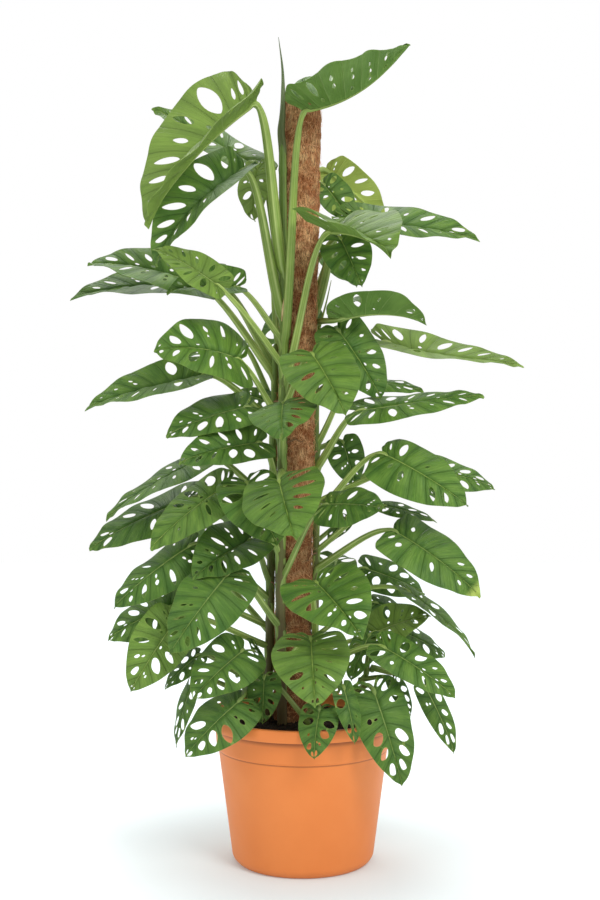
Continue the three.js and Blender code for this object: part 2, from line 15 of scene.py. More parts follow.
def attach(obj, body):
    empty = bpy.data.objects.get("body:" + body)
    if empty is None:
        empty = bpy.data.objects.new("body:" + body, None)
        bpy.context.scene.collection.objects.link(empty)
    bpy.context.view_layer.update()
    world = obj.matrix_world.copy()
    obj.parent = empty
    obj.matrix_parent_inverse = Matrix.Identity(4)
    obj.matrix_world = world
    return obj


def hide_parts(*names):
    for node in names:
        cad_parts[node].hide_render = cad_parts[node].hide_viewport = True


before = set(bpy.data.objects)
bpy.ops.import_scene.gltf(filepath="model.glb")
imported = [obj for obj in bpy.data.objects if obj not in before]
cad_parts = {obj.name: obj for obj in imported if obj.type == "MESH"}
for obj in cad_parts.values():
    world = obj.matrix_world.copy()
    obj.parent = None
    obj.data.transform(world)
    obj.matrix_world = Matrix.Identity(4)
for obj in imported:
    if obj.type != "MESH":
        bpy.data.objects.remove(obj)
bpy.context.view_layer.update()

# Sizes that the solids share
GAP = 0.35
SOIL_EDGE = 232
SOIL_CROWN = 239
POLE = {"bottom": 40, "top": 1285, "radius": 29.5, "lump": 1, "low_x": -20, "high_x": 0}
STEM_SWAY = 4
SWAY_LENGTH = 130
ROOT_SHARE = 0.8
PETIOLE = {"sheath": 1.75, "tall_sheath": 2.2, "bow": 0.05, "knee": 0.2, "notch": 0.03, "steps": 26}

# Tall petioles stand above this node under blades above this length; above the second height, the sheaths
# of large leaves fade later
TALL_NODE = 860
TALL_BLADE = 180
LATE_SHEATH_NODE = 780

# How far the halves of a blade curl down towards their edges, in degrees, and where the camera stands
BLADE_CURL = 20
EYE = {"x": -5, "distance": 2500, "height": 775}

# Climbing stems: bearing round the pole at the soil and at the top, top, radius at both ends
STEMS = {
    "stem_front_left": ((-112, -140), 1195, (8.5, 6.5)),
    "stem_right": ((-14, 62), 1010, (6.5, 5)),
    "stem_left": ((-176, -192), 865, (7.5, 5.5)),
    "stem_back_right": ((70, 94), 1050, (8, 5.5)),
    "stem_back_left": ((120, 136), 1000, (8, 5.5)),
}

# Young shoots: points of each stem and its radius
SHOOTS = {
    "shoot_right": (((70, 0, 190), (76, -4, 255), (92, -14, 300), (118, -22, 330)), 3.2),
    "shoot_front": (((6, -78, 190), (8, -84, 252), (12, -98, 285)), 3.0),
    "shoot_left": (((-70, -14, 190), (-78, -20, 255), (-96, -34, 305), (-122, -44, 335)), 3.2),
    "shoot_back": (((10, 84, 190), (14, 96, 255), (20, 112, 300), (26, 132, 325)), 3.2),
}

# Each leaf: name, stem, height of its node, start and tip of the blade in the front view as
# (right, up, behind), width over length, then lean, fold and droop in degrees. Some say how far the lobes
# beside the notch reach, and how far behind the blade the knee lies, as a share of the petiole
LEAVES = [
    ("leaf_01", "stem_front_left", 880, (0, 1250, -92), (173, 1361, -124), 0.98, 12, -38, -52, 1, 0.05),
    ("leaf_02", "stem_front_left", 990, (-78, 1263, -85), (-263, 1058, -105), 0.72, 27, -41, 26, 0.3, 0.1),
    ("leaf_03", "stem_front_left", 915, (-97, 1153, -50), (-249, 994, -70), 0.56, 43, -36, 45, 0.3, 0.12),
    ("leaf_04", "stem_back_left", 870, (-76, 1157, 72), (-250, 1256, 115), 0.46, 30, -12, 3),
    ("leaf_05", "stem_back_left", 985, (-74, 1158, 8), (-82, 1066, 12), 0.86, 70, -12, 20),
    ("leaf_06", "stem_back_right", 900, (38, 1152, 70), (137, 1066, 110), 0.68, -62, 12, 20, 0.4),
    ("leaf_07", "stem_back_right", 1020, (34, 1128, 42), (80, 1064, 34), 0.84, 58, -18, 28),
    ("leaf_08", "stem_right", 995, (62, 1040, -48), (98, 960, -98), 0.8, 38, -5, 20),
    ("leaf_09", "stem_front_left", 800, (42, 1050, -85), (147, 1011, -235), 0.9, 4, -36, 25),
    ("leaf_10", "stem_right", 920, (78, 1072, -15), (295, 1039, -45), 0.45, 34, -19, 6),
    ("leaf_11", "stem_left", 815, (-167, 960, 24), (-359, 998, 12), 0.58, 38, -20, 30),
    ("leaf_12", "stem_front_left", 830, (-140, 960, -116), (-250, 1024, -114), 0.66, 42, -16, 20),
    ("leaf_13", "stem_back_left", 812, (-150, 966, 86), (-389, 943, 60), 0.45, 32, -22, 12),
    ("leaf_14", "stem_front_left", 872, (-110, 958, -44), (-228, 950, -54), 0.7, 41, -34, 25),
    ("leaf_15", "stem_front_left", 735, (-106, 838, -70), (-249, 854, -130), 0.88, 52, -14, 50),
    ("leaf_16", "stem_left", 735, (-160, 813, -45), (-366, 757, -60), 0.48, 32, -25, 12, 0.3),
    ("leaf_17", "stem_front_left", 708, (-92, 760, -60), (-230, 712, -105), 0.6, 43, -6, 25),
    ("leaf_18", "stem_front_left", 760, (15, 848, -110), (72, 747, -190), 0.88, 25, -8, 25),
    ("leaf_19", "stem_front_left", 680, (-33, 766, -120), (-34, 708, -245), 0.8, 12, -4, 28),
    ("leaf_20", "stem_front_left", 620, (-72, 700, -85), (-209, 667, -135), 0.62, 45, -15, 25),
    ("leaf_21", "stem_left", 600, (-160, 677, 15), (-333, 573, -12), 0.5, 16, -8, 15),
    ("leaf_22", "stem_front_left", 560, (-125, 631, -60), (-258, 522, -105), 0.54, 43, -5, 25),
    ("leaf_23", "stem_left", 540, (-178, 610, 40), (-360, 522, 20), 0.52, 38, 0, 20),
    ("leaf_24", "stem_left", 470, (-88, 538, -40), (-185, 473, -110), 0.85, 35, -20, 25),
    ("leaf_25", "stem_left", 440, (-185, 530, -50), (-320, 423, -75), 0.58, 50, 20, 25),
    ("leaf_26", "stem_front_left", 653, (-40, 636, -132), (-14, 540, -240), 1.0, 25, -8, 25),
    ("leaf_27", "stem_front_left", 520, (-95, 634, -86), (-42, 528, -150), 0.92, 25, -5, 20),
    ("leaf_28", "stem_back_left", 380, (-200, 436, -25), (-330, 370, -30), 0.72, 47, 0, 25),
    ("leaf_29", "stem_left", 360, (-213, 403, -80), (-291, 281, -125), 0.7, 50, -2, 25),
    ("leaf_30", "stem_front_left", 400, (-123, 483, -105), (-225, 345, -165), 0.7, 46, 10, 30),
    ("leaf_31", "stem_right", 380, (22, 466, -115), (98, 374, -220), 0.94, 25, -18, 25),
    ("leaf_32", "stem_front_left", 330, (13, 372, -135), (20, 257, -235), 0.92, 3, -5, 25),
    ("leaf_33", "stem_front_left", 480, (38, 597, -90), (138, 591, -150), 0.76, 47, 2, 20),
    ("leaf_34", "stem_right", 580, (133, 682, -70), (277, 594, -125), 0.62, 52, 3, 30, 0.5),
    ("leaf_35", "stem_right", 600, (187, 660, -35), (323, 625, -50), 0.56, 45, 4, 20),
    ("leaf_36", "stem_right", 780, (137, 867, 24), (368, 833, -14), 0.4, 26, -24, -17),
    ("leaf_37", "stem_right", 900, (63, 905, -60), (207, 899, -70), 0.8, -5, -45, 38),
    ("leaf_38", "stem_right", 805, (58, 888, -25), (132, 772, -40), 0.72, 60, -5, 25),
    ("leaf_39", "stem_right", 660, (95, 753, -48), (302, 781, -62), 0.44, 28, -4, 4),
    ("leaf_40", "stem_right", 690, (66, 702, 24), (88, 626, 20), 0.85, 60, -5, 15),
    ("leaf_41", "stem_right", 490, (151, 553, -70), (299, 441, -115), 0.6, 40, -8, 28, 0.3),
    ("leaf_42", "stem_back_right", 430, (173, 452, -20), (293, 341, -35), 0.42, 8, -12, 20),
    ("leaf_43", "stem_back_right", 330, (120, 382, -20), (214, 412, -35), 0.85, 45, -14, 20),
    ("leaf_44", "stem_right", 320, (133, 358, -80), (257, 272, -110), 0.55, 40, -8, 25),
]

# Smaller leaves: their stem and node, then as above
SMALL_LEAVES = [
    ("stem_left", 690, (-58, 768, 20), (-118, 785, 45), 0.7, 40, -10, 15),
    ("stem_right", 700, (89, 803, 8), (203, 787, 24), 0.5, 28, 0, 15),
    ("stem_right", 520, (135, 595, -20), (225, 568, -35), 0.5, 25, 0, 15),
    ("stem_back_right", 850, (50, 1010, 130), (90, 960, 220), 0.6, -10, -5, 25),
    ("stem_back_right", 780, (40, 880, 115), (80, 790, 230), 0.6, -10, -5, 25),
    ("stem_back_right", 540, (150, 668, 110), (238, 600, 180), 0.55, -15, -5, 25),
    ("stem_back_right", 475, (55, 505, 120), (45, 420, 205), 0.6, -15, -5, 25),
    ("stem_back_right", 370, (104, 490, 50), (206, 447, 62), 0.66, 48, 0, 20),
    ("stem_back_right", 352, (122, 432, 30), (190, 400, 40), 0.75, 35, 0, 20),
    ("stem_back_right", 300, (168, 382, 15), (240, 342, 30), 0.85, 35, 0, 20),
    ("stem_back_right", 510, (72, 574, 30), (42, 532, 15), 0.8, 20, 0, 20),
    ("stem_back_left", 790, (-10, 915, 110), (-40, 790, 220), 0.6, 0, -5, 25),
    ("stem_back_left", 740, (-110, 870, 90), (-200, 840, 170), 0.55, -15, -5, 25),
    ("stem_back_left", 480, (-130, 590, 100), (-220, 510, 180), 0.6, -15, -5, 25),
    ("stem_back_left", 360, (-150, 470, 120), (-215, 380, 200), 0.6, -10, -5, 25),
    ("shoot_right", 0.97, (206, 288, -20), (256, 176, -40), 0.4, 45, 0, 25),
    ("shoot_right", 0.6, (118, 285, -110), (168, 121, -160), 0.6, 30, 0, 25),
    ("shoot_right", 0.88, (112, 378, -30), (80, 300, -62), 0.75, 10, 0, 25),
    ("shoot_right", 0.78, (152, 302, -55), (182, 238, -66), 0.5, 45, 0, 20),
    ("shoot_front", 0.9, (28, 253, -150), (18, 167, -188), 0.8, 0, 0, 35),
    ("shoot_front", 0.75, (68, 290, -145), (88, 193, -178), 0.5, 0, 0, 20),
    ("shoot_front", 0.6, (-65, 307, -90), (-68, 227, -120), 0.75, 0, 0, 20),
    ("shoot_left", 0.97, (-100, 352, -95), (-186, 270, -160), 0.85, 35, -5, 25),
    ("shoot_left", 0.88, (-176, 344, -50), (-234, 286, -60), 0.6, 35, 0, 20),
    ("shoot_left", 0.45, (-66, 336, -30), (-93, 374, -42), 0.8, 35, 0, 15),
    ("shoot_left", 0.75, (-105, 268, -125), (-199, 172, -165), 0.8, 38, 10, 25),
    ("shoot_left", 0.55, (-184, 300, -70), (-216, 187, -78), 0.42, 20, 0, 15),
    ("shoot_back", 0.97, (20, 340, 150), (40, 255, 215), 0.7, 0, 0, 30),
    ("shoot_back", 0.7, (-60, 330, 140), (-110, 250, 190), 0.65, -10, 0, 30),
]

UP = np.array([0.0, 0.0, 1.0])


def unit(vector):
    return vector / np.linalg.norm(vector)


def seen(place):
    """A point of the front view at its own depth."""
    right, up, behind = place
    spread = (EYE["distance"] + behind) / EYE["distance"]
    return np.array([
        EYE["x"] + (right - EYE["x"]) * spread,
        behind,
        EYE["height"] + (up - EYE["height"]) * spread,
    ])


def pole_centre(height):
    share = (height - SOIL_CROWN) / (POLE["top"] - SOIL_CROWN)
    return np.array([POLE["low_x"] + (POLE["high_x"] - POLE["low_x"]) * share, 0.0, height])


def round_pole(heights, bearings, reach):
    """Points at some distance from the axis of the pole."""
    share = (heights - SOIL_CROWN) / (POLE["top"] - SOIL_CROWN)
    centre_x = POLE["low_x"] + (POLE["high_x"] - POLE["low_x"]) * share
    return np.stack([centre_x + reach * np.cos(bearings), reach * np.sin(bearings), heights], axis=1)


def ring(radius, turns, height):
    """A level ring of points round the upright axis."""
    return np.stack([radius * np.cos(turns), radius * np.sin(turns), np.full(len(turns), height)], axis=1)


def stem_point(name, height):
    """A point of a climbing stem's centre line, on the skin of the pole."""
    (low, high), top, radii = STEMS[name]
    share = (height - SOIL_CROWN) / (top - SOIL_CROWN)
    sway = STEM_SWAY * math.sin(height / SWAY_LENGTH + low)
    bearing = math.radians(low + (high - low) * share + sway)
    reach = POLE["radius"] + POLE["lump"] + radii[0] + 2 * GAP
    return pole_centre(height) + reach * np.array([math.cos(bearing), math.sin(bearing), 0.0])


def stem_radius(name, height):
    top, radii = STEMS[name][1:]
    share = min(max((height - SOIL_CROWN) / (top - SOIL_CROWN), 0), 1)
    return radii[0] + (radii[1] - radii[0]) * share


def smooth_line(points, count):
    """A smooth line through some points, with its points evenly spaced."""
    knots = np.array(points, float)
    ends = np.vstack([2 * knots[0] - knots[1], knots, 2 * knots[-1] - knots[-2]])
    dense = []
    for i in range(len(knots) - 1):
        before, a, b, after = ends[i:i + 4]
        for t in np.linspace(0, 1, 24, endpoint=False):
            dense.append(0.5 * (2 * a + (b - before) * t
                                + (2 * before - 5 * a + 4 * b - after) * t ** 2
                                + (3 * a - before - 3 * b + after) * t ** 3))
    dense = np.array(dense + [knots[-1]])
    walked = np.concatenate([[0], np.cumsum(np.linalg.norm(np.diff(dense, axis=0), axis=1))])
    places = np.linspace(0, walked[-1], count)
    return np.stack([np.interp(places, walked, dense[:, axis]) for axis in range(knots.shape[1])], axis=1)


def bent_line(start, rise, knee, end, count):
    """A cubic curve with two handles."""
    t = np.linspace(0, 1, count)[:, None]
    return (start * (1 - t) ** 3 + 3 * rise * (1 - t) ** 2 * t
            + 3 * knee * (1 - t) * t ** 2 + end * t ** 3)


class Shape:
    """Vertices, faces and vertex values of one mesh, collected part by part.

    Each vertex has five values for the materials: the three of its place, its kind and its tint. A blade's
    place is (vein, out, distance off the midrib) and its kind reaches 1 at the rim, and is 2 more on the
    upper face. A stalk's place is (turn away, share, radius) and its kind says how old its skin looks.
    """

    def __init__(self):
        self.points = []
        self.faces = []
        self.finish_of_faces = []
        self.values = []
        self.count = 0

    def add(self, points, faces, values=(0, 0, 0, 0, 0), finish=0):
        self.points.append(np.asarray(points, float))
        self.values.append(np.broadcast_to(np.asarray(values, float), (len(points), 5)))
        self.faces += [tuple(index + self.count for index in face) for face in faces]
        self.finish_of_faces += [finish] * len(faces)
        self.count += len(points)

    def piece(self, name, finishes, smooth_angle=50):
        points = np.vstack(self.points) / 1000
        values = np.vstack(self.values)
        mesh = bpy.data.meshes.new(name)
        mesh.from_pydata(points.tolist(), [], self.faces)
        place = mesh.attributes.new("place", "FLOAT_VECTOR", "POINT")
        place.data.foreach_set("vector", values[:, :3].ravel())
        kind = mesh.attributes.new("kind", "FLOAT", "POINT")
        kind.data.foreach_set("value", np.ascontiguousarray(values[:, 3]))
        tint = mesh.attributes.new("tint", "FLOAT", "POINT")
        tint.data.foreach_set("value", np.ascontiguousarray(values[:, 4]))
        for finish in finishes:
            mesh.materials.append(finish)
        mesh.polygons.foreach_set("material_index", self.finish_of_faces)
        mesh.polygons.foreach_set("use_smooth", [True] * len(self.faces))
        mesh.set_sharp_from_angle(angle=math.radians(smooth_angle))
        mesh.update()
        obj = bpy.data.objects.new(name, mesh)
        bpy.context.scene.collection.objects.link(obj)
        return obj


def settle(obj, slot, *nodes):
    """Every piece rides on the one body and hides the imported parts that it stands for; slot is not used."""
    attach(obj, "root")
    if nodes:
        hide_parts(*nodes)


def tube(line, radii, sides, groove=0.0, facing=None):
    """A closed round bar along a line: points, faces and (turn away, share, radius) for each point.

    groove sinks a channel on the side that facing looks to.
    """
    line = np.asarray(line, float)
    count = len(line)
    tangents = np.gradient(line, axis=0)
    tangents /= np.linalg.norm(tangents, axis=1)[:, None]
    side = facing if facing is not None else UP
    if abs(np.dot(unit(side), tangents[0])) > 0.95:
        side = np.array([0.0, -1.0, 0.2])
    turns = np.linspace(0, 2 * math.pi, sides, endpoint=False)
    turn_away = np.minimum(turns, 2 * math.pi - turns)
    sunk = 1 - groove * np.exp(-(turn_away / 0.55) ** 2)
    points, places = [], []
    for i in range(count):
        side = unit(side - tangents[i] * np.dot(side, tangents[i]))
        other = np.cross(tangents[i], side)
        circle = np.cos(turns)[:, None] * side + np.sin(turns)[:, None] * other
        points.append(line[i] + circle * (radii[i] * sunk)[:, None])
        places.append(np.stack([turn_away / math.pi, np.full(sides, i / (count - 1)),
                                np.full(sides, radii[i])], axis=1))
    faces = []
    for i in range(count - 1):
        for k in range(sides):
            a, b = i * sides + k, i * sides + (k + 1) % sides
            faces.append((a, b, b + sides, a + sides))
    last = (count - 1) * sides
    faces.append(tuple(range(sides - 1, -1, -1)))
    faces.append(tuple(range(last, last + sides)))
    return np.vstack(points), faces, np.vstack(places)


def add_tube(shape, line, radii, sides, kind=0.0, tint=0.0, finish=0, **more):
    points, faces, places = tube(line, radii, sides, **more)
    constant = np.full((len(points), 2), (kind, tint))
    shape.add(points, faces, np.column_stack([places, constant]), finish)


def lathe(profile, sides):
    """A turned closed surface from (radius, height) points that start and end on the axis."""
    turns = np.linspace(0, 2 * math.pi, sides, endpoint=False)
    rings = profile[1:-1]
    points = [np.array([[0, 0, profile[0][1]]])]
    points += [ring(radius, turns, height) for radius, height in rings]
    points.append(np.array([[0, 0, profile[-1][1]]]))
    top = 1 + len(rings) * sides
    faces = []
    for k in range(sides):
        after = (k + 1) % sides
        faces.append((0, 1 + after, 1 + k))
        for r in range(len(rings) - 1):
            a, b = 1 + r * sides + k, 1 + r * sides + after
            faces.append((a, b, b + sides, a + sides))
        low = 1 + (len(rings) - 1) * sides
        faces.append((low + k, low + after, top))
    return np.vstack(points), faces


def rounded(corners, steps=5):
    """A profile with its corners eased: each corner is (radius, height) or (radius, height, ease)."""
    line = []
    for i, corner in enumerate(corners):
        here = np.array(corner[:2], float)
        ease = corner[2] if len(corner) > 2 else 0
        if ease == 0 or i in (0, len(corners) - 1):
            line.append(tuple(here))
            continue
        before = unit(np.array(corners[i - 1][:2]) - here) * ease + here
        after = unit(np.array(corners[i + 1][:2]) - here) * ease + here
        for t in np.linspace(0, 1, steps):
            line.append(tuple(before * (1 - t) ** 2 + 2 * here * t * (1 - t) + after * t ** 2))
    return line


def lattice_noise(points, scale, seed):
    """Smooth noise from -1 to 1 at some points, from a seeded lattice with cells of the given size."""
    grid = np.random.default_rng(seed).uniform(-1, 1, (32, 32, 32))
    place = np.asarray(points, float) / scale
    low = np.floor(place).astype(int)
    part = place - low
    part = part * part * (3 - 2 * part)
    total = np.zeros(len(place))
    for dx in (0, 1):
        for dy in (0, 1):
            for dz in (0, 1):
                weight = (np.where(dx, part[:, 0], 1 - part[:, 0])
                          * np.where(dy, part[:, 1], 1 - part[:, 1])
                          * np.where(dz, part[:, 2], 1 - part[:, 2]))
                total += weight * grid[(low[:, 0] + dx) % 32, (low[:, 1] + dy) % 32, (low[:, 2] + dz) % 32]
    return total


# The blade's outline from beside the notch to the tip: share of half the width, share of the length
OUTLINE = ((0.4, -0.13), (0.84, -0.075), (1.0, 0.17), (0.96, 0.43), (0.7, 0.7), (0.3, 0.905), (0.06, 0.975),
           (0, 1))
SINUS = ((0, 0), (0.1, -0.05), (0.24, -0.115), (0.4, -0.13))
EDGE_POINTS = 400
SINUS_POINTS = 60

# Side veins: how they bend, where the first one starts on the midrib and how they crowd towards the base
VEIN_BEND = 0.05
FIRST_VEIN = 0.03
VEIN_CROWDING = 1.6

# Spacing of the blade's points as a share of its length, on small leaves too, and the blade's thickness
STEP_SHARE = 1 / 75
SMALL_STEP_SHARE = 1.35 * STEP_SHARE
SKIN = 0.7

# Relief of the blade as a share of its half width, and the depth of the channel over the midrib
QUILT = 0.042
EDGE_WAVE = 0.035
SWELL = 0.06
CHANNEL = 1.3

# Leaves whose holes stand out: (vein place, out, half width in vein spacings, half length in out) by side
HOLES = {
    "leaf_02": {
        1: [(1.5, 0.55, 0.28, 0.2), (2.45, 0.42, 0.16, 0.13), (3.5, 0.56, 0.34, 0.33),
            (4.45, 0.2, 0.1, 0.05), (4.6, 0.66, 0.14, 0.22), (5.5, 0.46, 0.13, 0.14),
            (6.5, 0.52, 0.18, 0.27), (7.5, 0.52, 0.16, 0.25), (8.5, 0.5, 0.15, 0.22)],
        -1: [(3.5, 0.5, 0.1, 0.16), (5.5, 0.5, 0.1, 0.2)]},
    "leaf_03": {
        1: [(1.5, 0.5, 0.12, 0.12), (2.5, 0.5, 0.2, 0.2), (3.5, 0.56, 0.25, 0.35), (4.5, 0.55, 0.16, 0.22),
            (5.5, 0.56, 0.2, 0.3), (6.5, 0.55, 0.2, 0.28), (7.4, 0.5, 0.2, 0.28)],
        -1: [(4.5, 0.5, 0.1, 0.15), (5.5, 0.5, 0.14, 0.22), (6.5, 0.5, 0.14, 0.22)]},
    "leaf_18": {
        1: [(1.2, 0.5, 0.14, 0.24), (2.2, 0.55, 0.15, 0.26), (3.3, 0.5, 0.16, 0.22), (4.4, 0.5, 0.14, 0.2)],
        -1: [(2.5, 0.45, 0.1, 0.12), (3.5, 0.3, 0.1, 0.08), (5.4, 0.5, 0.13, 0.16)]},
    "leaf_26": {
        1: [(1.6, 0.5, 0.1, 0.2), (2.6, 0.5, 0.1, 0.22), (3.6, 0.5, 0.08, 0.15), (4.5, 0.5, 0.08, 0.12)],
        -1: [(0.9, 0.55, 0.16, 0.26), (1.8, 0.55, 0.18, 0.3), (2.8, 0.55, 0.18, 0.28),
             (3.8, 0.5, 0.15, 0.24), (4.7, 0.45, 0.13, 0.16)]},
    "leaf_34": {
        1: [(0.7, 0.55, 0.26, 0.22), (2.5, 0.3, 0.12, 0.1), (3.4, 0.42, 0.17, 0.17), (5.4, 0.6, 0.2, 0.25),
            (6.3, 0.58, 0.2, 0.24)],
        -1: [(1.5, 0.5, 0.14, 0.2), (2.6, 0.5, 0.2, 0.3), (4.4, 0.4, 0.08, 0.1)]},
    "leaf_41": {
        1: [(1.5, 0.4, 0.2, 0.13), (2.5, 0.45, 0.15, 0.1), (4.5, 0.5, 0.13, 0.15), (6.3, 0.5, 0.12, 0.12)],
        -1: [(2.5, 0.42, 0.12, 0.1), (5.5, 0.6, 0.12, 0.12), (6.4, 0.6, 0.14, 0.14)]},
}

# Tint of a leaf: above 0 it is yellower, below 0 darker and cooler
# Most tints are a leaf's own tone; leaf_06's yellow is painted back-light and leaf_07's darker tint is
# painted shade
TINTS = {"leaf_06": 1.0, "leaf_05": 0.35, "leaf_07": -0.3, "leaf_01": -0.2, "leaf_10": -0.1, "leaf_04": 0.1}
# The young shoots' darker tint is painted shade
SHOOT_SHADE_TINT = -0.4
BACK_TINT = -0.3
SPEAR_TINT = -0.9
YELLOW_TIPS = {"leaf_41": 1.1}


class Leaf:
    """One leaf with the form of its solid: an arched midrib and two halves that fold and curl."""

    def __init__(self, row, seed, small=False):
        self.name, self.stem, self.node, start, tip, self.ratio, lean, fold, droop, *more = row
        self.start, self.tip = seen(start), seen(tip)
        self.lean, self.fold, self.droop = math.radians(lean), math.radians(fold), math.radians(droop)
        self.lobes = more[0] if more else 1
        self.knee = more[1] if len(more) > 1 else PETIOLE["knee"]
        self.seed = seed
        self.small = small
        chord = self.tip - self.start
        reach = np.linalg.norm(chord)
        self.along = chord / reach
        upward = unit(UP - self.along * np.dot(UP, self.along))
        sideward = np.cross(self.along, upward)
        if sideward[1] > 0:
            sideward = -sideward
        self.normal = upward * math.cos(self.lean) + sideward * math.sin(self.lean)
        self.across = np.cross(self.along, self.normal)
        self.length = reach * (self.droop / 2) / math.sin(self.droop / 2)
        self.half = self.ratio * self.length / 2

    def rib(self, run):
        """Points of the midrib and its upward directions."""
        run = np.atleast_1d(np.asarray(run, float))
        turn = (self.droop * (0.5 - run / self.length))[:, None]
        radius = self.length / self.droop
        points = (self.start + self.along * radius * (math.sin(self.droop / 2) - np.sin(turn))
                  + self.normal * radius * (np.cos(turn) - math.cos(self.droop / 2)))
        return points, self.normal * np.cos(turn) - self.along * np.sin(turn)

    def surface(self, out, run):
        """Points of the blade's middle surface."""
        points, upward = self.rib(run)
        reach = np.sqrt(out ** 2 + 1.2 ** 2) - 1.2
        angle = self.fold + math.radians(BLADE_CURL) * reach / self.half / 2
        return (points + self.across * (np.sign(out) * reach * np.cos(angle))[:, None]
                - upward * (reach * np.sin(angle))[:, None])

    def facing(self, out, run):
        step = 0.5
        sideways = self.surface(out + step, run) - self.surface(out - step, run)
        forwards = self.surface(out, run + step) - self.surface(out, run - step)
        normal = np.cross(sideways, forwards)
        return normal / np.linalg.norm(normal, axis=1)[:, None]


EDGE_LINE = smooth_line(OUTLINE, EDGE_POINTS)
SINUS_LINE = smooth_line(SINUS, SINUS_POINTS)


def edge_at(u, axis):
    """Where the outline is, out or along, at some shares of the way round it."""
    return np.interp(u * (EDGE_POINTS - 1), np.arange(EDGE_POINTS), EDGE_LINE[:, axis])


def vein_place(leaf, side, u, out):
    """Flat point at a share u of the way from the first vein to the tip, and out from midrib to edge."""
    u = np.clip(np.asarray(u, float), 0, 1)
    edge_x, edge_y = edge_at(u, 0), edge_at(u, 1)
    edge_y = np.where(edge_y < 0, edge_y * leaf.lobes, edge_y)
    inner = FIRST_VEIN + (1 - FIRST_VEIN) * u ** VEIN_CROWDING
    y = inner + (edge_y - inner) * out - VEIN_BEND * out * (1 - out) * (1 - u)
    return side * edge_x * out * leaf.half * leaf.width_of[side], y * leaf.length


def holes_of(leaf, side, rng):
    """Holes as (vein place, out, half width in vein spacings, half length in out).

    A leaf without holes of its own gets wide, middling and small ones between its side veins by seeded
    draws, with small round ones near the midrib.
    """
    if leaf.name in HOLES:
        return HOLES[leaf.name][side]
    holes = []
    wider = 1.3 if leaf.small else rng.uniform(0.7, 1.1)
    for k in range(leaf.veins):
        share = k / leaf.veins
        draw = rng.random()
        if share > 0.86 or draw < 0.1 or (k == 0 and draw < 0.5):
            continue
        if draw > (0.5 if leaf.small else 0.74):
            long, wide = rng.uniform(0.26, 0.36), rng.uniform(0.2, 0.3)
        elif draw > 0.36:
            long, wide = rng.uniform(0.19, 0.3), rng.uniform(0.11, 0.18)
        else:
            long, wide = rng.uniform(0.07, 0.14), rng.uniform(0.07, 0.12)
        out = 0.55 + rng.uniform(-0.07, 0.09)
        shrink = 1 - 0.25 * share
        middle = k + 0.5 + rng.uniform(-0.09, 0.09)
        holes.append((middle, out, min(wide * wider, 0.4), long * shrink))
        if rng.random() < 0.45 and out - long > 0.22 and not leaf.small:
            holes.append((k + 0.5 + rng.uniform(-0.1, 0.1), 0.14 + rng.uniform(0, 0.04), 0.12, 0.045))
        if draw < 0.36 and rng.random() < 0.5:
            holes.append((middle + 0.05, out - long * shrink - 0.14, 0.08, 0.07))
    return holes


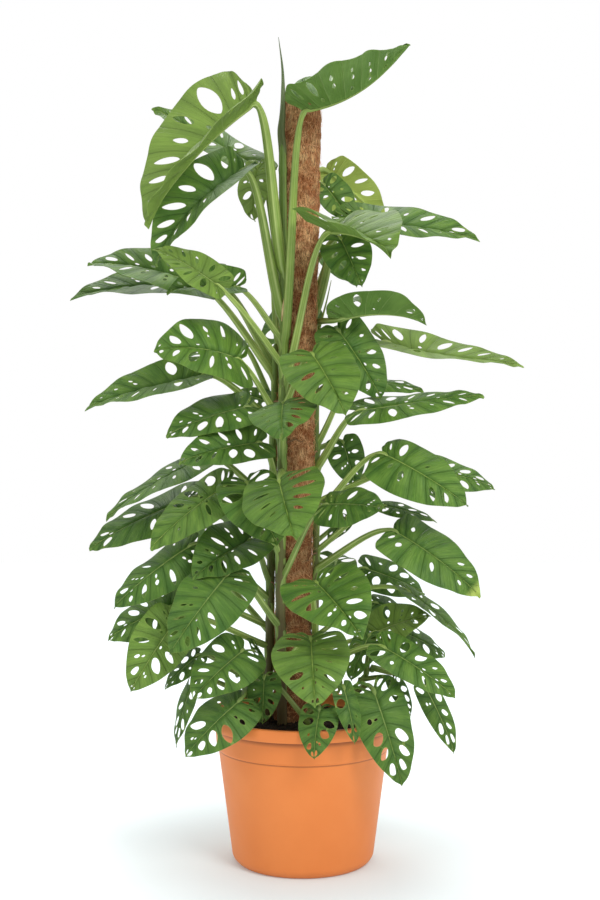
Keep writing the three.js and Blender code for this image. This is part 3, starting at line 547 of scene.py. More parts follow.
def blade_net(leaf, rng):
    """Flat points of a blade, their places among the veins, and triangles that leave the holes open."""
    step = leaf.length * (SMALL_STEP_SHARE if leaf.small else STEP_SHARE)
    flat, places, tags = [(0.0, 0.0)], [(-0.2, 0.0, 0.0)], [-1]

    def put(points, vein, out, side, tag):
        first = len(flat)
        flat.extend(zip(points[0], points[1]))
        places.extend(zip(vein, out, np.full(len(out), side)))
        tags.extend([tag] * len(out))
        return list(range(first, len(flat)))

    edges = []
    edge_ids = {}
    hole_tag = 0
    for side in (1, -1):
        wide = leaf.half * leaf.width_of[side]
        count = int(0.16 * leaf.length / step) + 4
        picks = np.linspace(0, SINUS_POINTS - 1, count)[1:-1]
        x, y = (np.interp(picks, np.arange(SINUS_POINTS), SINUS_LINE[:, axis]) for axis in (0, 1))
        bend = -0.3 * np.sin(np.linspace(0, math.pi, len(picks)))
        ids = put((side * x * wide, y * leaf.length * leaf.lobes), bend, x / SINUS[-1][0], side, -1)
        walk = EDGE_LINE * (wide, leaf.length)
        count = int(np.linalg.norm(np.diff(walk, axis=0), axis=1).sum() / step) + 6
        u = np.linspace(0, 1, count)[:-1]
        x, y = vein_place(leaf, side, u, np.ones(len(u)))
        ids += put((x, y), u * leaf.veins, np.ones(len(u)), side, -1)
        edge_ids[side] = ids
        holes = holes_of(leaf, side, rng)
        for vein, out, wide_part, long_part in holes:
            count = int(max(12, min(26, 5 * long_part * leaf.half / step)))
            turn = np.linspace(0, 2 * math.pi, count, endpoint=False)
            lens = np.sin(turn) * np.abs(np.sin(turn)) ** 0.3
            veins = vein + wide_part * lens * (1 - 0.25 * np.cos(turn))
            outs = out + long_part * np.cos(turn)
            x, y = vein_place(leaf, side, veins / leaf.veins, outs)
            ids = put((x, y), veins, outs, side, hole_tag)
            edges += [(a, b) for a, b in zip(ids, ids[1:] + ids[:1])]
            hole_tag += 1
        rows = int(leaf.length / step)
        for row in range(rows):
            u = (row + 0.5) / rows * 0.985
            edge_x = edge_at(u, 0) * leaf.half
            columns = int(edge_x / step)
            if columns < 1:
                continue
            out = (np.arange(columns) + 0.75) / (columns + 0.5)
            vein = np.full(columns, u * leaf.veins)
            keep = np.ones(columns, bool)
            for centre, mid, wide_part, long_part in holes:
                keep &= (((vein - centre) / (wide_part + 0.1)) ** 2
                         + ((out - mid) / (long_part + 0.35 * step / leaf.half + 0.02)) ** 2) > 1.05
            if keep.any():
                x, y = vein_place(leaf, side, np.full(keep.sum(), u), out[keep])
                put((x, y), vein[keep], out[keep], side, -1)
    rib_rows = np.linspace(0, 1, int(leaf.length / step) + 2)[1:-1]
    rib_share = np.clip(rib_rows - FIRST_VEIN, 0, 1) / (1 - FIRST_VEIN)
    rib_veins = rib_share ** (1 / VEIN_CROWDING) * leaf.veins
    axis_line = np.zeros(len(rib_rows))
    rib_ids = put((axis_line, rib_rows * leaf.length), rib_veins, axis_line, 0, -1)
    tip = put(([0.0], [leaf.length]), [leaf.veins], [0.0], 0, -1)
    outline = [0] + edge_ids[1] + tip + edge_ids[-1][::-1]
    edges += list(zip(outline, outline[1:] + outline[:1]))
    rib_path = [0] + rib_ids + tip
    edges += list(zip(rib_path, rib_path[1:]))
    coords = [Vector(point) for point in flat]
    verts, _, faces, origins, _, _ = delaunay_2d_cdt(coords, edges, [], 1, 1e-4)
    tags = np.array(tags)
    places = np.array(places)
    source = [group[0] if group else -1 for group in origins]
    flat_out = np.array([tuple(vert) for vert in verts])
    place_out = np.array([places[i] if i >= 0 else (0, 0, 0) for i in source])
    tag_out = np.array([tags[i] if i >= 0 else -1 for i in source])
    triangles = [tuple(face) for face in faces
                 if not (tag_out[face[0]] >= 0 and tag_out[face[0]] == tag_out[face[1]] == tag_out[face[2]])]
    return flat_out, place_out, triangles


def add_blade(shape, leaf, tint):
    """Upper face, underside and rim of a blade with its quilting, waves and channelled midrib."""
    rng = np.random.default_rng(1000 + leaf.seed)
    leaf.veins = int(np.clip(round(4.3 + leaf.length / 48), 5, 10))
    wider = rng.uniform(0.97, 1.04)
    leaf.width_of = {1: wider, -1: 2 - wider}
    flat, places, triangles = blade_net(leaf, rng)
    out_mm, run = flat[:, 0], flat[:, 1]
    vein, out, side = places.T
    phase = rng.uniform(0, 2 * math.pi, 4)
    puff = np.abs(np.sin(math.pi * vein)) ** 0.6
    among = np.column_stack([2.2 * vein, 1.6 * out + 3 * side, np.full(len(out), leaf.seed)])
    uneven = lattice_noise(among, 1, 77)
    quilt = QUILT * leaf.half * puff * (1 + 0.6 * uneven) * np.clip(out / 0.15, 0, 1) * (1 - 0.7 * out)
    channel = -CHANNEL * np.exp(-(out_mm / 2.6) ** 2)
    wave = EDGE_WAVE * leaf.half * out ** 3 * np.sin(math.pi * vein + phase[0] + side)
    swell = SWELL * leaf.half * out ** 2 * np.sin(5.2 * run / leaf.length + phase[1] + 2 * side)
    tip_share = np.clip((run / leaf.length - 0.72) / 0.28, 0, 1)
    hook = -(0.01 + 0.03 * rng.random()) * leaf.length * tip_share ** 2
    height = quilt + channel + wave + swell + hook
    facing = leaf.facing(out_mm, run)
    middle = leaf.surface(out_mm, run) + facing * height[:, None]
    normal = np.zeros_like(middle)
    corners = np.array(triangles)
    a, b, c = (middle[corners[:, i]] for i in range(3))
    flat_cross = np.cross(b - a, c - a)
    for i in range(3):
        np.add.at(normal, corners[:, i], flat_cross)
    normal /= np.linalg.norm(normal, axis=1)[:, None] + 1e-12
    turned = np.sign(np.sum(normal * facing, axis=1))
    normal *= turned[:, None]
    if np.sum(np.sum(flat_cross * facing[corners[:, 0]], axis=1) < 0) > len(corners) / 2:
        triangles = [(p, r, q) for p, q, r in triangles]
    count = len(middle)
    directed = dict.fromkeys(edge for p, q, r in triangles for edge in ((p, q), (q, r), (r, p)))
    border = [edge for edge in directed if (edge[1], edge[0]) not in directed]
    rim = np.zeros(count)
    rim[[index for edge in border for index in edge]] = 1
    faces = list(triangles)
    faces += [(p + count, r + count, q + count) for p, q, r in triangles]
    faces += [(q, p, p + count, q + count) for p, q in border]
    points = np.vstack([middle + normal * SKIN / 2, middle - normal * SKIN / 2])
    tints = tint + YELLOW_TIPS.get(leaf.name, 0) * np.clip(3 * tip_share - 1.2, 0, 1)
    upper = np.column_stack([vein, out, np.abs(out_mm), rim + 2, tints])
    under = np.column_stack([vein, out, np.abs(out_mm), rim, tints])
    shape.add(points, faces, np.vstack([upper, under]), finish=0)


def add_stalk(shape, leaf, root, tint, swelling=None):
    """The petiole with its sheath and knee, which runs on under the blade as the midrib.

    swelling holds points up the stem's centre line and the radii there, where the sheath wraps the stem.
    """
    end = leaf.rib(PETIOLE["notch"] * leaf.length)[0][0]
    reach = end - root
    distance = np.linalg.norm(reach)
    rise = root + 0.4 * reach + UP * PETIOLE["bow"] * distance
    knee = leaf.rib(-leaf.knee * distance)[0][0]
    line = bent_line(root, rise, knee, end, PETIOLE["steps"])
    base = (2.2 + leaf.length / 100) * 0.95
    share = np.linspace(0, 1, PETIOLE["steps"])
    tall = leaf.node > TALL_NODE and leaf.length > TALL_BLADE
    fading = 0.75 if leaf.node > LATE_SHEATH_NODE and not leaf.small else 1.2
    sheath = PETIOLE["tall_sheath" if tall else "sheath"]
    radii = base * (1 + (sheath - 1) * (1 - share) ** fading)
    radii *= 1 + 0.16 * np.exp(-((share - 0.93) / 0.05) ** 2) - 0.12 * np.exp(-((share - 0.82) / 0.06) ** 2)
    if swelling is None:
        foot, foot_radii = root - np.outer((8, 5, 2), UP), radii[0] * np.array([0.5, 0.7, 0.9])
    else:
        foot, foot_radii = swelling
    rib_share = np.linspace(0.06, 0.93, 22)
    rib_points, upward = leaf.rib(rib_share * leaf.length)
    rib_radii = 0.3 + (0.62 * base - 0.3) * (1 - rib_share) ** 1.3
    tail = rib_points - upward * (rib_radii * 0.75 + 0.4)[:, None]
    line = np.vstack([foot, line, tail])
    radii = np.concatenate([foot_radii, radii, rib_radii])
    add_tube(shape, line, radii, 12, tint=tint, finish=1, groove=0.3, facing=leaf.normal)


def srgb(red, green, blue):
    """A colour given from 0 to 255, as the linear colour that shaders take."""
    parts = [value / 255 for value in (red, green, blue)]
    return tuple(p / 12.92 if p < 0.04045 else ((p + 0.055) / 1.055) ** 2.4 for p in parts) + (1.0,)


def plug(tree, socket, value):
    """A link where the value comes from another node, and otherwise the plain value."""
    if isinstance(value, bpy.types.NodeSocket):
        tree.links.new(value, socket)
    else:
        socket.default_value = value


def add_node(tree, kind, inputs=None, **settings):
    made = tree.nodes.new(kind)
    for name, value in settings.items():
        setattr(made, name, value)
    for name, value in (inputs or {}).items():
        plug(tree, made.inputs[name], value)
    return made


def maths(tree, operation, *values):
    made = add_node(tree, "ShaderNodeMath", dict(enumerate(values)), operation=operation)
    return made.outputs[0]


def mixed(tree, factor, first, second):
    made = add_node(tree, "ShaderNodeMix", data_type="RGBA")
    for index, value in ((0, factor), (6, first), (7, second)):
        plug(tree, made.inputs[index], value)
    return made.outputs[2]


def washed(tree, colour, *washes):
    """A colour pulled towards others in turn: each wash is (mask, amount of it, colour)."""
    for mask, amount, other in washes:
        colour = mixed(tree, maths(tree, "MULTIPLY", mask, amount), colour, other)
    return colour


def band(tree, value, low, high, to_low=0.0, to_high=1.0):
    """value run smoothly from low to high onto another range."""
    made = add_node(tree, "ShaderNodeMapRange", {0: value, 1: low, 2: high, 3: to_low, 4: to_high},
                    interpolation_type="SMOOTHSTEP")
    return made.outputs[0]


def new_group(name, inputs, outputs):
    tree = bpy.data.node_groups.new(name, "ShaderNodeTree")
    for socket, kind, value in inputs:
        made = tree.interface.new_socket(socket, in_out="INPUT", socket_type=kind)
        if value is not None:
            made.default_value = value
    for socket, kind in outputs:
        tree.interface.new_socket(socket, in_out="OUTPUT", socket_type=kind)
    return tree, tree.nodes.new("NodeGroupInput"), tree.nodes.new("NodeGroupOutput")


def make_mottle():
    """Uneven colour: a colour drifts towards a second one in soft patches."""
    tree, given, result = new_group(
        "mottle",
        [("Colour", "NodeSocketColor", None), ("Patches", "NodeSocketColor", None),
         ("Scale", "NodeSocketFloat", 20.0), ("Amount", "NodeSocketFloat", 0.5)],
        [("Colour", "NodeSocketColor"), ("Mask", "NodeSocketFloat")])
    place = tree.nodes.new("ShaderNodeTexCoord").outputs["Object"]
    noise = add_node(tree, "ShaderNodeTexNoise",
                     {"Vector": place, "Scale": given.outputs["Scale"], "Detail": 4.0, "Roughness": 0.55})
    mask = band(tree, noise.outputs[0], 0.35, 0.68)
    part = maths(tree, "MULTIPLY", mask, given.outputs["Amount"])
    colour = mixed(tree, part, given.outputs["Colour"], given.outputs["Patches"])
    tree.links.new(colour, result.inputs["Colour"])
    tree.links.new(part, result.inputs["Mask"])
    return tree


def make_grain():
    """Fine relief: small grain over a broader unevenness, as a height."""
    tree, given, result = new_group(
        "grain",
        [("Scale", "NodeSocketFloat", 900.0), ("Broad", "NodeSocketFloat", 0.4)],
        [("Height", "NodeSocketFloat")])
    place = tree.nodes.new("ShaderNodeTexCoord").outputs["Object"]
    fine = add_node(tree, "ShaderNodeTexNoise",
                    {"Vector": place, "Scale": given.outputs["Scale"], "Detail": 3.0})
    slower = maths(tree, "MULTIPLY", given.outputs["Scale"], 0.16)
    wide = add_node(tree, "ShaderNodeTexNoise", {"Vector": place, "Scale": slower, "Detail": 2.0})
    height = maths(tree, "MULTIPLY_ADD", wide.outputs[0], given.outputs["Broad"], fine.outputs[0])
    tree.links.new(height, result.inputs["Height"])
    return tree


def make_lines():
    """Thin lines wherever a value passes a whole number, such as veins and the ribs of a stalk."""
    tree, given, result = new_group(
        "lines",
        [("Value", "NodeSocketFloat", 0.0), ("Width", "NodeSocketFloat", 0.05)],
        [("Mask", "NodeSocketFloat")])
    part = maths(tree, "FRACT", given.outputs["Value"])
    middle = maths(tree, "ABSOLUTE", maths(tree, "SUBTRACT", part, 0.5))
    distance = maths(tree, "SUBTRACT", 0.5, middle)
    mask = band(tree, distance, 0.0, given.outputs["Width"], 1.0, 0.0)
    tree.links.new(mask, result.inputs["Mask"])
    return tree


def make_streaks():
    """Streaks that run out along the side veins, drawn from the place among the veins."""
    tree, given, result = new_group(
        "streaks",
        [("Vein", "NodeSocketFloat", 0.0), ("Out", "NodeSocketFloat", 0.0), ("Seed", "NodeSocketFloat", 0.0),
         ("Across", "NodeSocketFloat", 4.0), ("Along", "NodeSocketFloat", 1.5)],
        [("Mask", "NodeSocketFloat")])
    place = add_node(tree, "ShaderNodeCombineXYZ", {
        0: maths(tree, "MULTIPLY", given.outputs["Vein"], given.outputs["Across"]),
        1: maths(tree, "MULTIPLY", given.outputs["Out"], given.outputs["Along"]),
        2: maths(tree, "MULTIPLY", given.outputs["Seed"], 37.0)})
    noise = add_node(tree, "ShaderNodeTexNoise",
                     {"Vector": place.outputs[0], "Scale": 1.0, "Detail": 3.0, "Roughness": 0.6})
    tree.links.new(band(tree, noise.outputs[0], 0.32, 0.68), result.inputs["Mask"])
    return tree


MOTTLE, GRAIN, LINES, STREAKS = make_mottle(), make_grain(), make_lines(), make_streaks()


def use_group(tree, group, inputs):
    return add_node(tree, "ShaderNodeGroup", inputs, node_tree=group)


def start_material(name, roughness, specular=0.5):
    made = bpy.data.materials.new(name)
    made.use_nodes = True
    tree = made.node_tree
    tree.nodes.clear()
    shader = add_node(tree, "ShaderNodeBsdfPrincipled",
                      {"Roughness": roughness, "Specular IOR Level": specular})
    out = tree.nodes.new("ShaderNodeOutputMaterial")
    tree.links.new(shader.outputs[0], out.inputs["Surface"])
    return made, tree, shader


def add_bump(tree, shader, height, distance, strength=1.0):
    bump = add_node(tree, "ShaderNodeBump", {"Height": height, "Distance": distance, "Strength": strength})
    tree.links.new(bump.outputs[0], shader.inputs["Normal"])


def read_place(tree):
    """The three numbers of a vertex's place, then its kind and its tint."""
    place = add_node(tree, "ShaderNodeAttribute", attribute_name="place")
    parts = add_node(tree, "ShaderNodeSeparateXYZ", {0: place.outputs["Vector"]})
    kind = add_node(tree, "ShaderNodeAttribute", attribute_name="kind")
    tint = add_node(tree, "ShaderNodeAttribute", attribute_name="tint")
    return [*parts.outputs, kind.outputs["Fac"], tint.outputs["Fac"]]


def leaf_material():
    made, tree, shader = start_material("leaf blade", 0.4, 0.28)
    vein, out, off_rib, kind, tint = read_place(tree)
    upper = maths(tree, "GREATER_THAN", kind, 1.5)
    rim = maths(tree, "SUBTRACT", kind, maths(tree, "MULTIPLY", upper, 2.0))
    rim = band(tree, rim, 0.72, 1.0)
    vein_width = maths(tree, "MULTIPLY_ADD", out, -0.02, 0.045)
    veins = use_group(tree, LINES, {"Value": vein, "Width": vein_width}).outputs[0]
    five_veins = maths(tree, "MULTIPLY", vein, 5.0)
    fine_veins = use_group(tree, LINES, {"Value": five_veins, "Width": 0.14}).outputs[0]
    # Painted shade: the blade is darkened along each side vein, where the quilting sinks
    vein_valley_shade = use_group(tree, LINES, {"Value": vein, "Width": 0.3}).outputs[0]
    place = {"Vein": vein, "Out": out, "Seed": tint}
    broad = use_group(tree, STREAKS, {**place, "Across": 2.2, "Along": 1.2}).outputs[0]
    thin = use_group(tree, STREAKS, {**place, "Across": 14.0, "Along": 1.6}).outputs[0]
    rib = band(tree, off_rib, 0.9, 2.0, 1.0, 0.0)
    near_rib = band(tree, off_rib, 1.5, 11.0, 1.0, 0.0)
    face = use_group(tree, MOTTLE, {"Colour": srgb(68, 106, 32), "Patches": srgb(98, 138, 46),
                                    "Scale": 16.0, "Amount": 0.7})
    colour = washed(tree, face.outputs[0],
                    (broad, 0.55, srgb(122, 156, 62)), (vein_valley_shade, 0.42, srgb(44, 84, 24)),
                    (thin, 0.24, srgb(40, 80, 22)), (near_rib, 0.35, srgb(42, 82, 20)),
                    (fine_veins, 0.14, srgb(30, 62, 16)), (veins, 0.22, srgb(96, 132, 56)),
                    (rib, 0.75, srgb(124, 156, 66)))
    pale = use_group(tree, MOTTLE, {"Colour": srgb(92, 124, 50), "Patches": srgb(116, 148, 66),
                                    "Scale": 14.0, "Amount": 0.7})
    under = washed(tree, pale.outputs[0], (broad, 0.4, srgb(78, 112, 42)), (veins, 0.5, srgb(140, 164, 92)))
    colour = mixed(tree, upper, under, colour)
    # Tint washes a blade towards yellow-green above 0 and dark cool green below 0: a leaf's own tone, but
    # painted back-light on leaf_06 and painted shade on leaf_07 and the young shoots
    warm = band(tree, tint, 0.0, 1.0)
    cool = band(tree, tint, -1.0, 0.0, 1.0, 0.0)
    colour = washed(tree, colour, (warm, 0.85, srgb(190, 208, 104)), (cool, 0.6, srgb(44, 76, 34)),
                    (rim, 0.5, srgb(140, 158, 74)))
    tree.links.new(colour, shader.inputs["Base Color"])
    rough = maths(tree, "MULTIPLY_ADD", upper, -0.16, 0.56)
    rough = maths(tree, "MULTIPLY_ADD", thin, 0.08, rough)
    tree.links.new(maths(tree, "MULTIPLY_ADD", face.outputs[1], 0.08, rough), shader.inputs["Roughness"])
    grain = use_group(tree, GRAIN, {"Scale": 700.0, "Broad": 1.2}).outputs[0]
    sunk = maths(tree, "MULTIPLY", maths(tree, "MULTIPLY_ADD", upper, -2.0, 1.0), veins)
    height = maths(tree, "MULTIPLY_ADD", sunk, 1.1, maths(tree, "MULTIPLY", grain, 0.25))
    height = maths(tree, "MULTIPLY_ADD", fine_veins, -0.3, height)
    height = maths(tree, "MULTIPLY_ADD", thin, 0.5, height)
    add_bump(tree, shader, height, 0.0009, 0.9)
    return made


def stalk_material(name, body, streak, shade, old, roughness=0.42):
    """Green stems and petioles: pale rims along the channel, streaks, and an older foot."""
    made, tree, shader = start_material(name, roughness, 0.4)
    turn, share, _, kind, tint = read_place(tree)
    patches = use_group(tree, MOTTLE, {"Colour": body, "Patches": shade, "Scale": 24.0, "Amount": 0.6})
    channel = band(tree, maths(tree, "ABSOLUTE", maths(tree, "SUBTRACT", turn, 0.24)), 0.0, 0.09, 1.0, 0.0)
    streaks = use_group(tree, LINES, {"Value": maths(tree, "MULTIPLY", turn, 6.0), "Width": 0.42}).outputs[0]
    pale_channel = maths(tree, "MULTIPLY", channel, 0.8)
    pale = maths(tree, "MAXIMUM", pale_channel, maths(tree, "MULTIPLY", streaks, 0.3))
    colour = mixed(tree, pale, patches.outputs[0], streak)
    # Tint washes the stalks as it does the blades: painted back-light on leaf_06, painted shade on leaf_07
    # and the young shoots, own tone elsewhere
    warm = band(tree, tint, 0.0, 1.0)
    cool = band(tree, tint, -1.0, 0.0, 1.0, 0.0)
    colour = washed(tree, colour, (warm, 0.5, srgb(176, 196, 112)), (cool, 0.85, srgb(70, 88, 58)))
    foot = band(tree, share, 0.02, 0.2, 0.55, 0.0)
    colour = mixed(tree, foot, colour, shade)
    aged = maths(tree, "MULTIPLY", band(tree, share, 0.1, 0.75, 1.0, 0.0), kind)
    colour = mixed(tree, aged, colour, old)
    tree.links.new(colour, shader.inputs["Base Color"])
    rough = maths(tree, "MULTIPLY_ADD", patches.outputs[1], 0.2, roughness)
    tree.links.new(rough, shader.inputs["Roughness"])
    grain = use_group(tree, GRAIN, {"Scale": 800.0, "Broad": 0.8}).outputs[0]
    height = maths(tree, "MULTIPLY_ADD", streaks, 0.8, maths(tree, "MULTIPLY", grain, 0.4))
    add_bump(tree, shader, height, 0.0005, 0.6)
    return made


def plain_material(name, colour, patches, scale, amount, roughness, grain_scale, relief, specular=0.5):
    """A material with one colour that drifts in patches, and fine relief."""
    made, tree, shader = start_material(name, roughness, specular)
    body = use_group(tree, MOTTLE, {"Colour": colour, "Patches": patches, "Scale": scale, "Amount": amount})
    tree.links.new(body.outputs[0], shader.inputs["Base Color"])
    rough = maths(tree, "MULTIPLY_ADD", body.outputs[1], 0.12, roughness)
    tree.links.new(rough, shader.inputs["Roughness"])
    grain = use_group(tree, GRAIN, {"Scale": grain_scale, "Broad": 0.8}).outputs[0]
    add_bump(tree, shader, grain, relief, 0.8)
    return made


def coir_material():
    """Brown coir felt: long crossed fibres over deep brown gaps, painted highlights on fibre tops, painted
    shade low down.
    """
    made, tree, shader = start_material("coir felt", 0.92, 0.2)
    place = tree.nodes.new("ShaderNodeTexCoord").outputs["Object"]
    heights = []
    for tilt, scale in ((0.5, 1.0), (-0.7, 1.15), (1.35, 0.9)):
        turned = add_node(tree, "ShaderNodeMapping", {"Vector": place, "Rotation": (0.3 * tilt, tilt, 0.4),
                                                      "Scale": (900 * scale, 900 * scale, 90 * scale)})
        noise = add_node(tree, "ShaderNodeTexNoise",
                         {"Vector": turned.outputs[0], "Scale": 1.0, "Detail": 2.0})
        heights.append(noise.outputs[0])
    fibres = maths(tree, "MAXIMUM", maths(tree, "MAXIMUM", heights[0], heights[1]), heights[2])
    broad = use_group(tree, MOTTLE, {"Colour": srgb(255, 208, 148), "Patches": srgb(194, 116, 68),
                                     "Scale": 26.0, "Amount": 0.8})
    body = use_group(tree, MOTTLE, {"Colour": broad.outputs[0], "Patches": srgb(174, 98, 54),
                                    "Scale": 70.0, "Amount": 0.8})
    light = band(tree, fibres, 0.44, 0.66)
    colour = mixed(tree, light, srgb(110, 62, 34), body.outputs[0])
    # Painted highlight: the tops of the fibres are washed towards pale cream
    colour = mixed(tree, band(tree, fibres, 0.64, 0.8, 0.0, 0.7), colour, srgb(255, 228, 184))
    height = add_node(tree, "ShaderNodeSeparateXYZ", {0: place}).outputs[2]
    # Painted shade: the felt is washed towards dark brown low down on the pole
    colour = mixed(tree, band(tree, height, 0.3, 0.95, 0.55, 0.0), colour, srgb(104, 56, 30))
    tree.links.new(colour, shader.inputs["Base Color"])
    add_bump(tree, shader, fibres, 0.006, 1.0)
    return made


# Creases of the pot: height of each and how far down its shade reaches, in metres, then how deep it is
CREASES = ((0.2303, 0.012, 0.8), (0.1906, 0.0035, 0.65))


def pot_material():
    """Orange plastic with faint clouds, shaded in the crease under the collar and the one under the ring."""
    made, tree, shader = start_material("pot plastic", 0.5, 0.4)
    body = use_group(tree, MOTTLE, {"Colour": srgb(230, 132, 63), "Patches": srgb(220, 121, 54),
                                    "Scale": 9.0, "Amount": 0.45})
    place = tree.nodes.new("ShaderNodeTexCoord").outputs["Object"]
    height = add_node(tree, "ShaderNodeSeparateXYZ", {0: place}).outputs[2]
    colour = body.outputs[0]
    for top, reach, depth in CREASES:
        below = maths(tree, "LESS_THAN", height, top)
        shade = maths(tree, "MULTIPLY", below, band(tree, height, top - reach, top, 0.0, depth))
        colour = mixed(tree, shade, colour, srgb(96, 34, 8))
    tree.links.new(colour, shader.inputs["Base Color"])
    tree.links.new(maths(tree, "MULTIPLY_ADD", body.outputs[1], 0.12, 0.5), shader.inputs["Roughness"])
    grain = use_group(tree, GRAIN, {"Scale": 1400.0, "Broad": 0.8}).outputs[0]
    add_bump(tree, shader, grain, 0.00012, 0.8)
    return made


LEAF = leaf_material()
PETIOLE_GREEN = stalk_material("petiole", srgb(136, 162, 66), srgb(194, 208, 130), srgb(98, 128, 48),
                               srgb(96, 84, 50))
STEM_GREEN = stalk_material("stem", srgb(96, 124, 50), srgb(128, 150, 76), srgb(84, 92, 44),
                            srgb(92, 72, 46), 0.5)
ROOT_BROWN = plain_material("aerial root", srgb(150, 116, 78), srgb(112, 82, 54),
                            60.0, 0.8, 0.75, 900.0, 0.0004)
DRY_SHEATH = plain_material("dry sheath", srgb(214, 190, 140), srgb(170, 130, 84),
                            80.0, 0.7, 0.7, 900.0, 0.0004)
COIR = coir_material()
FIBRE = plain_material("loose coir fibre", srgb(255, 204, 148), srgb(204, 124, 74),
                       70.0, 0.9, 0.85, 1500.0, 0.0001, 0.3)
SOIL = plain_material("potting mix", srgb(34, 27, 23), srgb(64, 48, 38),
                      160.0, 0.8, 0.95, 900.0, 0.002, 0.2)
CRUMB = plain_material("crumbs of mix", srgb(48, 38, 32), srgb(88, 64, 48),
                       220.0, 0.8, 0.95, 1200.0, 0.001, 0.2)
POT_PLASTIC = pot_material()
STAKE_WOOD = plain_material("stake wood", srgb(186, 148, 100), srgb(150, 112, 70),
                            50.0, 0.7, 0.75, 600.0, 0.0006)

# Pot
POT_PROFILE = (
    (0, 0), (109, 0, 3), (118, 9, 6), (141.5, 190, 1.2), (144.5, 193.5, 1.4), (147.5, 230, 0.8),
    (159.6, 230, 1.2), (161, 236, 3), (160.2, 249.8, 2.2), (151.5, 249.8, 2), (149, 238, 3), (143.5, 226, 2),
    (137.2, 190, 2), (114, 8, 6), (104, 5, 3), (0, 5),
)
DRAIN_RING = 70
DRAIN_RADIUS = 9
DRAIN_TURNS = (45, 135, 225, 315)


def make_pot():
    shape = Shape()
    points, faces = lathe(rounded(POT_PROFILE), 144)
    shape.add(points, faces)
    pot = shape.piece("nursery_pot", [POT_PLASTIC], 28)
    cutters = []
    for turn in DRAIN_TURNS:
        hole = Shape()
        middle = DRAIN_RING * np.array([math.cos(math.radians(turn)), math.sin(math.radians(turn)), 0])
        add_tube(hole, middle + np.outer(np.linspace(-6, 12, 3), UP), np.full(3, DRAIN_RADIUS), 32,
                 facing=np.array([1.0, 0, 0]))
        cutter = hole.piece("drain_cutter", [POT_PLASTIC])
        bore = pot.modifiers.new("drain", "BOOLEAN")
        bore.object = cutter
        bore.solver = "EXACT"
        cutters.append(cutter)
    bpy.context.view_layer.update()
    cut = bpy.data.meshes.new_from_object(pot.evaluated_get(bpy.context.evaluated_depsgraph_get()))
    pot.modifiers.clear()
    pot.data = cut
    for cutter in cutters:
        bpy.data.objects.remove(cutter)
    cut.set_sharp_from_angle(angle=math.radians(28))
    settle(pot, "pot_plastic", "pot")


# Soil
SOIL_FOOT = 8
SOIL_REACH = 143.7
SOIL_WALLS = ((136.4, 190), (123.6, 90), (112.5, SOIL_FOOT))

# Crumbs: how many, how far out they lie, and the reach of the mound that they lie on
CRUMBS = 1300
CRUMB_REACH = 137
CRUMB_MOUND = 140


def soil_height(radius, reach=SOIL_REACH):
    """Height of the soil: a low mound that falls away from its crown to its edge."""
    return np.interp(radius, (0, 50, 90, reach), (SOIL_CROWN, SOIL_CROWN, SOIL_EDGE + 1, SOIL_EDGE - 4))


def make_soil():
    rings, sides = 72, 200
    shape = Shape()
    radii = SOIL_REACH * np.linspace(1 / rings, 1, rings)
    turns = np.linspace(0, 2 * math.pi, sides, endpoint=False)
    grid_r, grid_t = np.meshgrid(radii, turns, indexing="ij")
    x, y = (grid_r * np.cos(grid_t)).ravel(), (grid_r * np.sin(grid_t)).ravel()
    flat = np.stack([x, y, np.zeros(len(x))], axis=1)
    rough = (2.2 * lattice_noise(flat, 19, 1) + 1.5 * lattice_noise(flat, 7, 2)
             + 0.9 * lattice_noise(flat, 3.2, 3) + 0.5 * lattice_noise(flat, 1.7, 4))
    calm = np.clip((SOIL_REACH - grid_r.ravel()) / 8, 0, 1)
    top = np.stack([x, y, soil_height(grid_r.ravel()) + rough * calm - 1.5], axis=1)
    middle = np.array([[0, 0, SOIL_CROWN - 1.5]])
    walls = [ring(radius, turns, height) for radius, height in SOIL_WALLS]
    foot = np.array([[0, 0, SOIL_FOOT]])
    points = np.vstack([middle, top, *walls, foot])
    faces = []
    total = rings + len(walls)
    for k in range(sides):
        after = (k + 1) % sides
        faces.append((0, 1 + k, 1 + after))
        for r in range(total - 1):
            a, b = 1 + r * sides + k, 1 + r * sides + after
            faces.append((a, a + sides, b + sides, b))
        last = 1 + (total - 1) * sides
        faces.append((last + k, len(points) - 1, last + after))
    shape.add(points, faces)
    crumbs(shape, np.random.default_rng(11))
    settle(shape.piece("potting_mix", [SOIL, CRUMB], 70), "potting_soil", "soil")


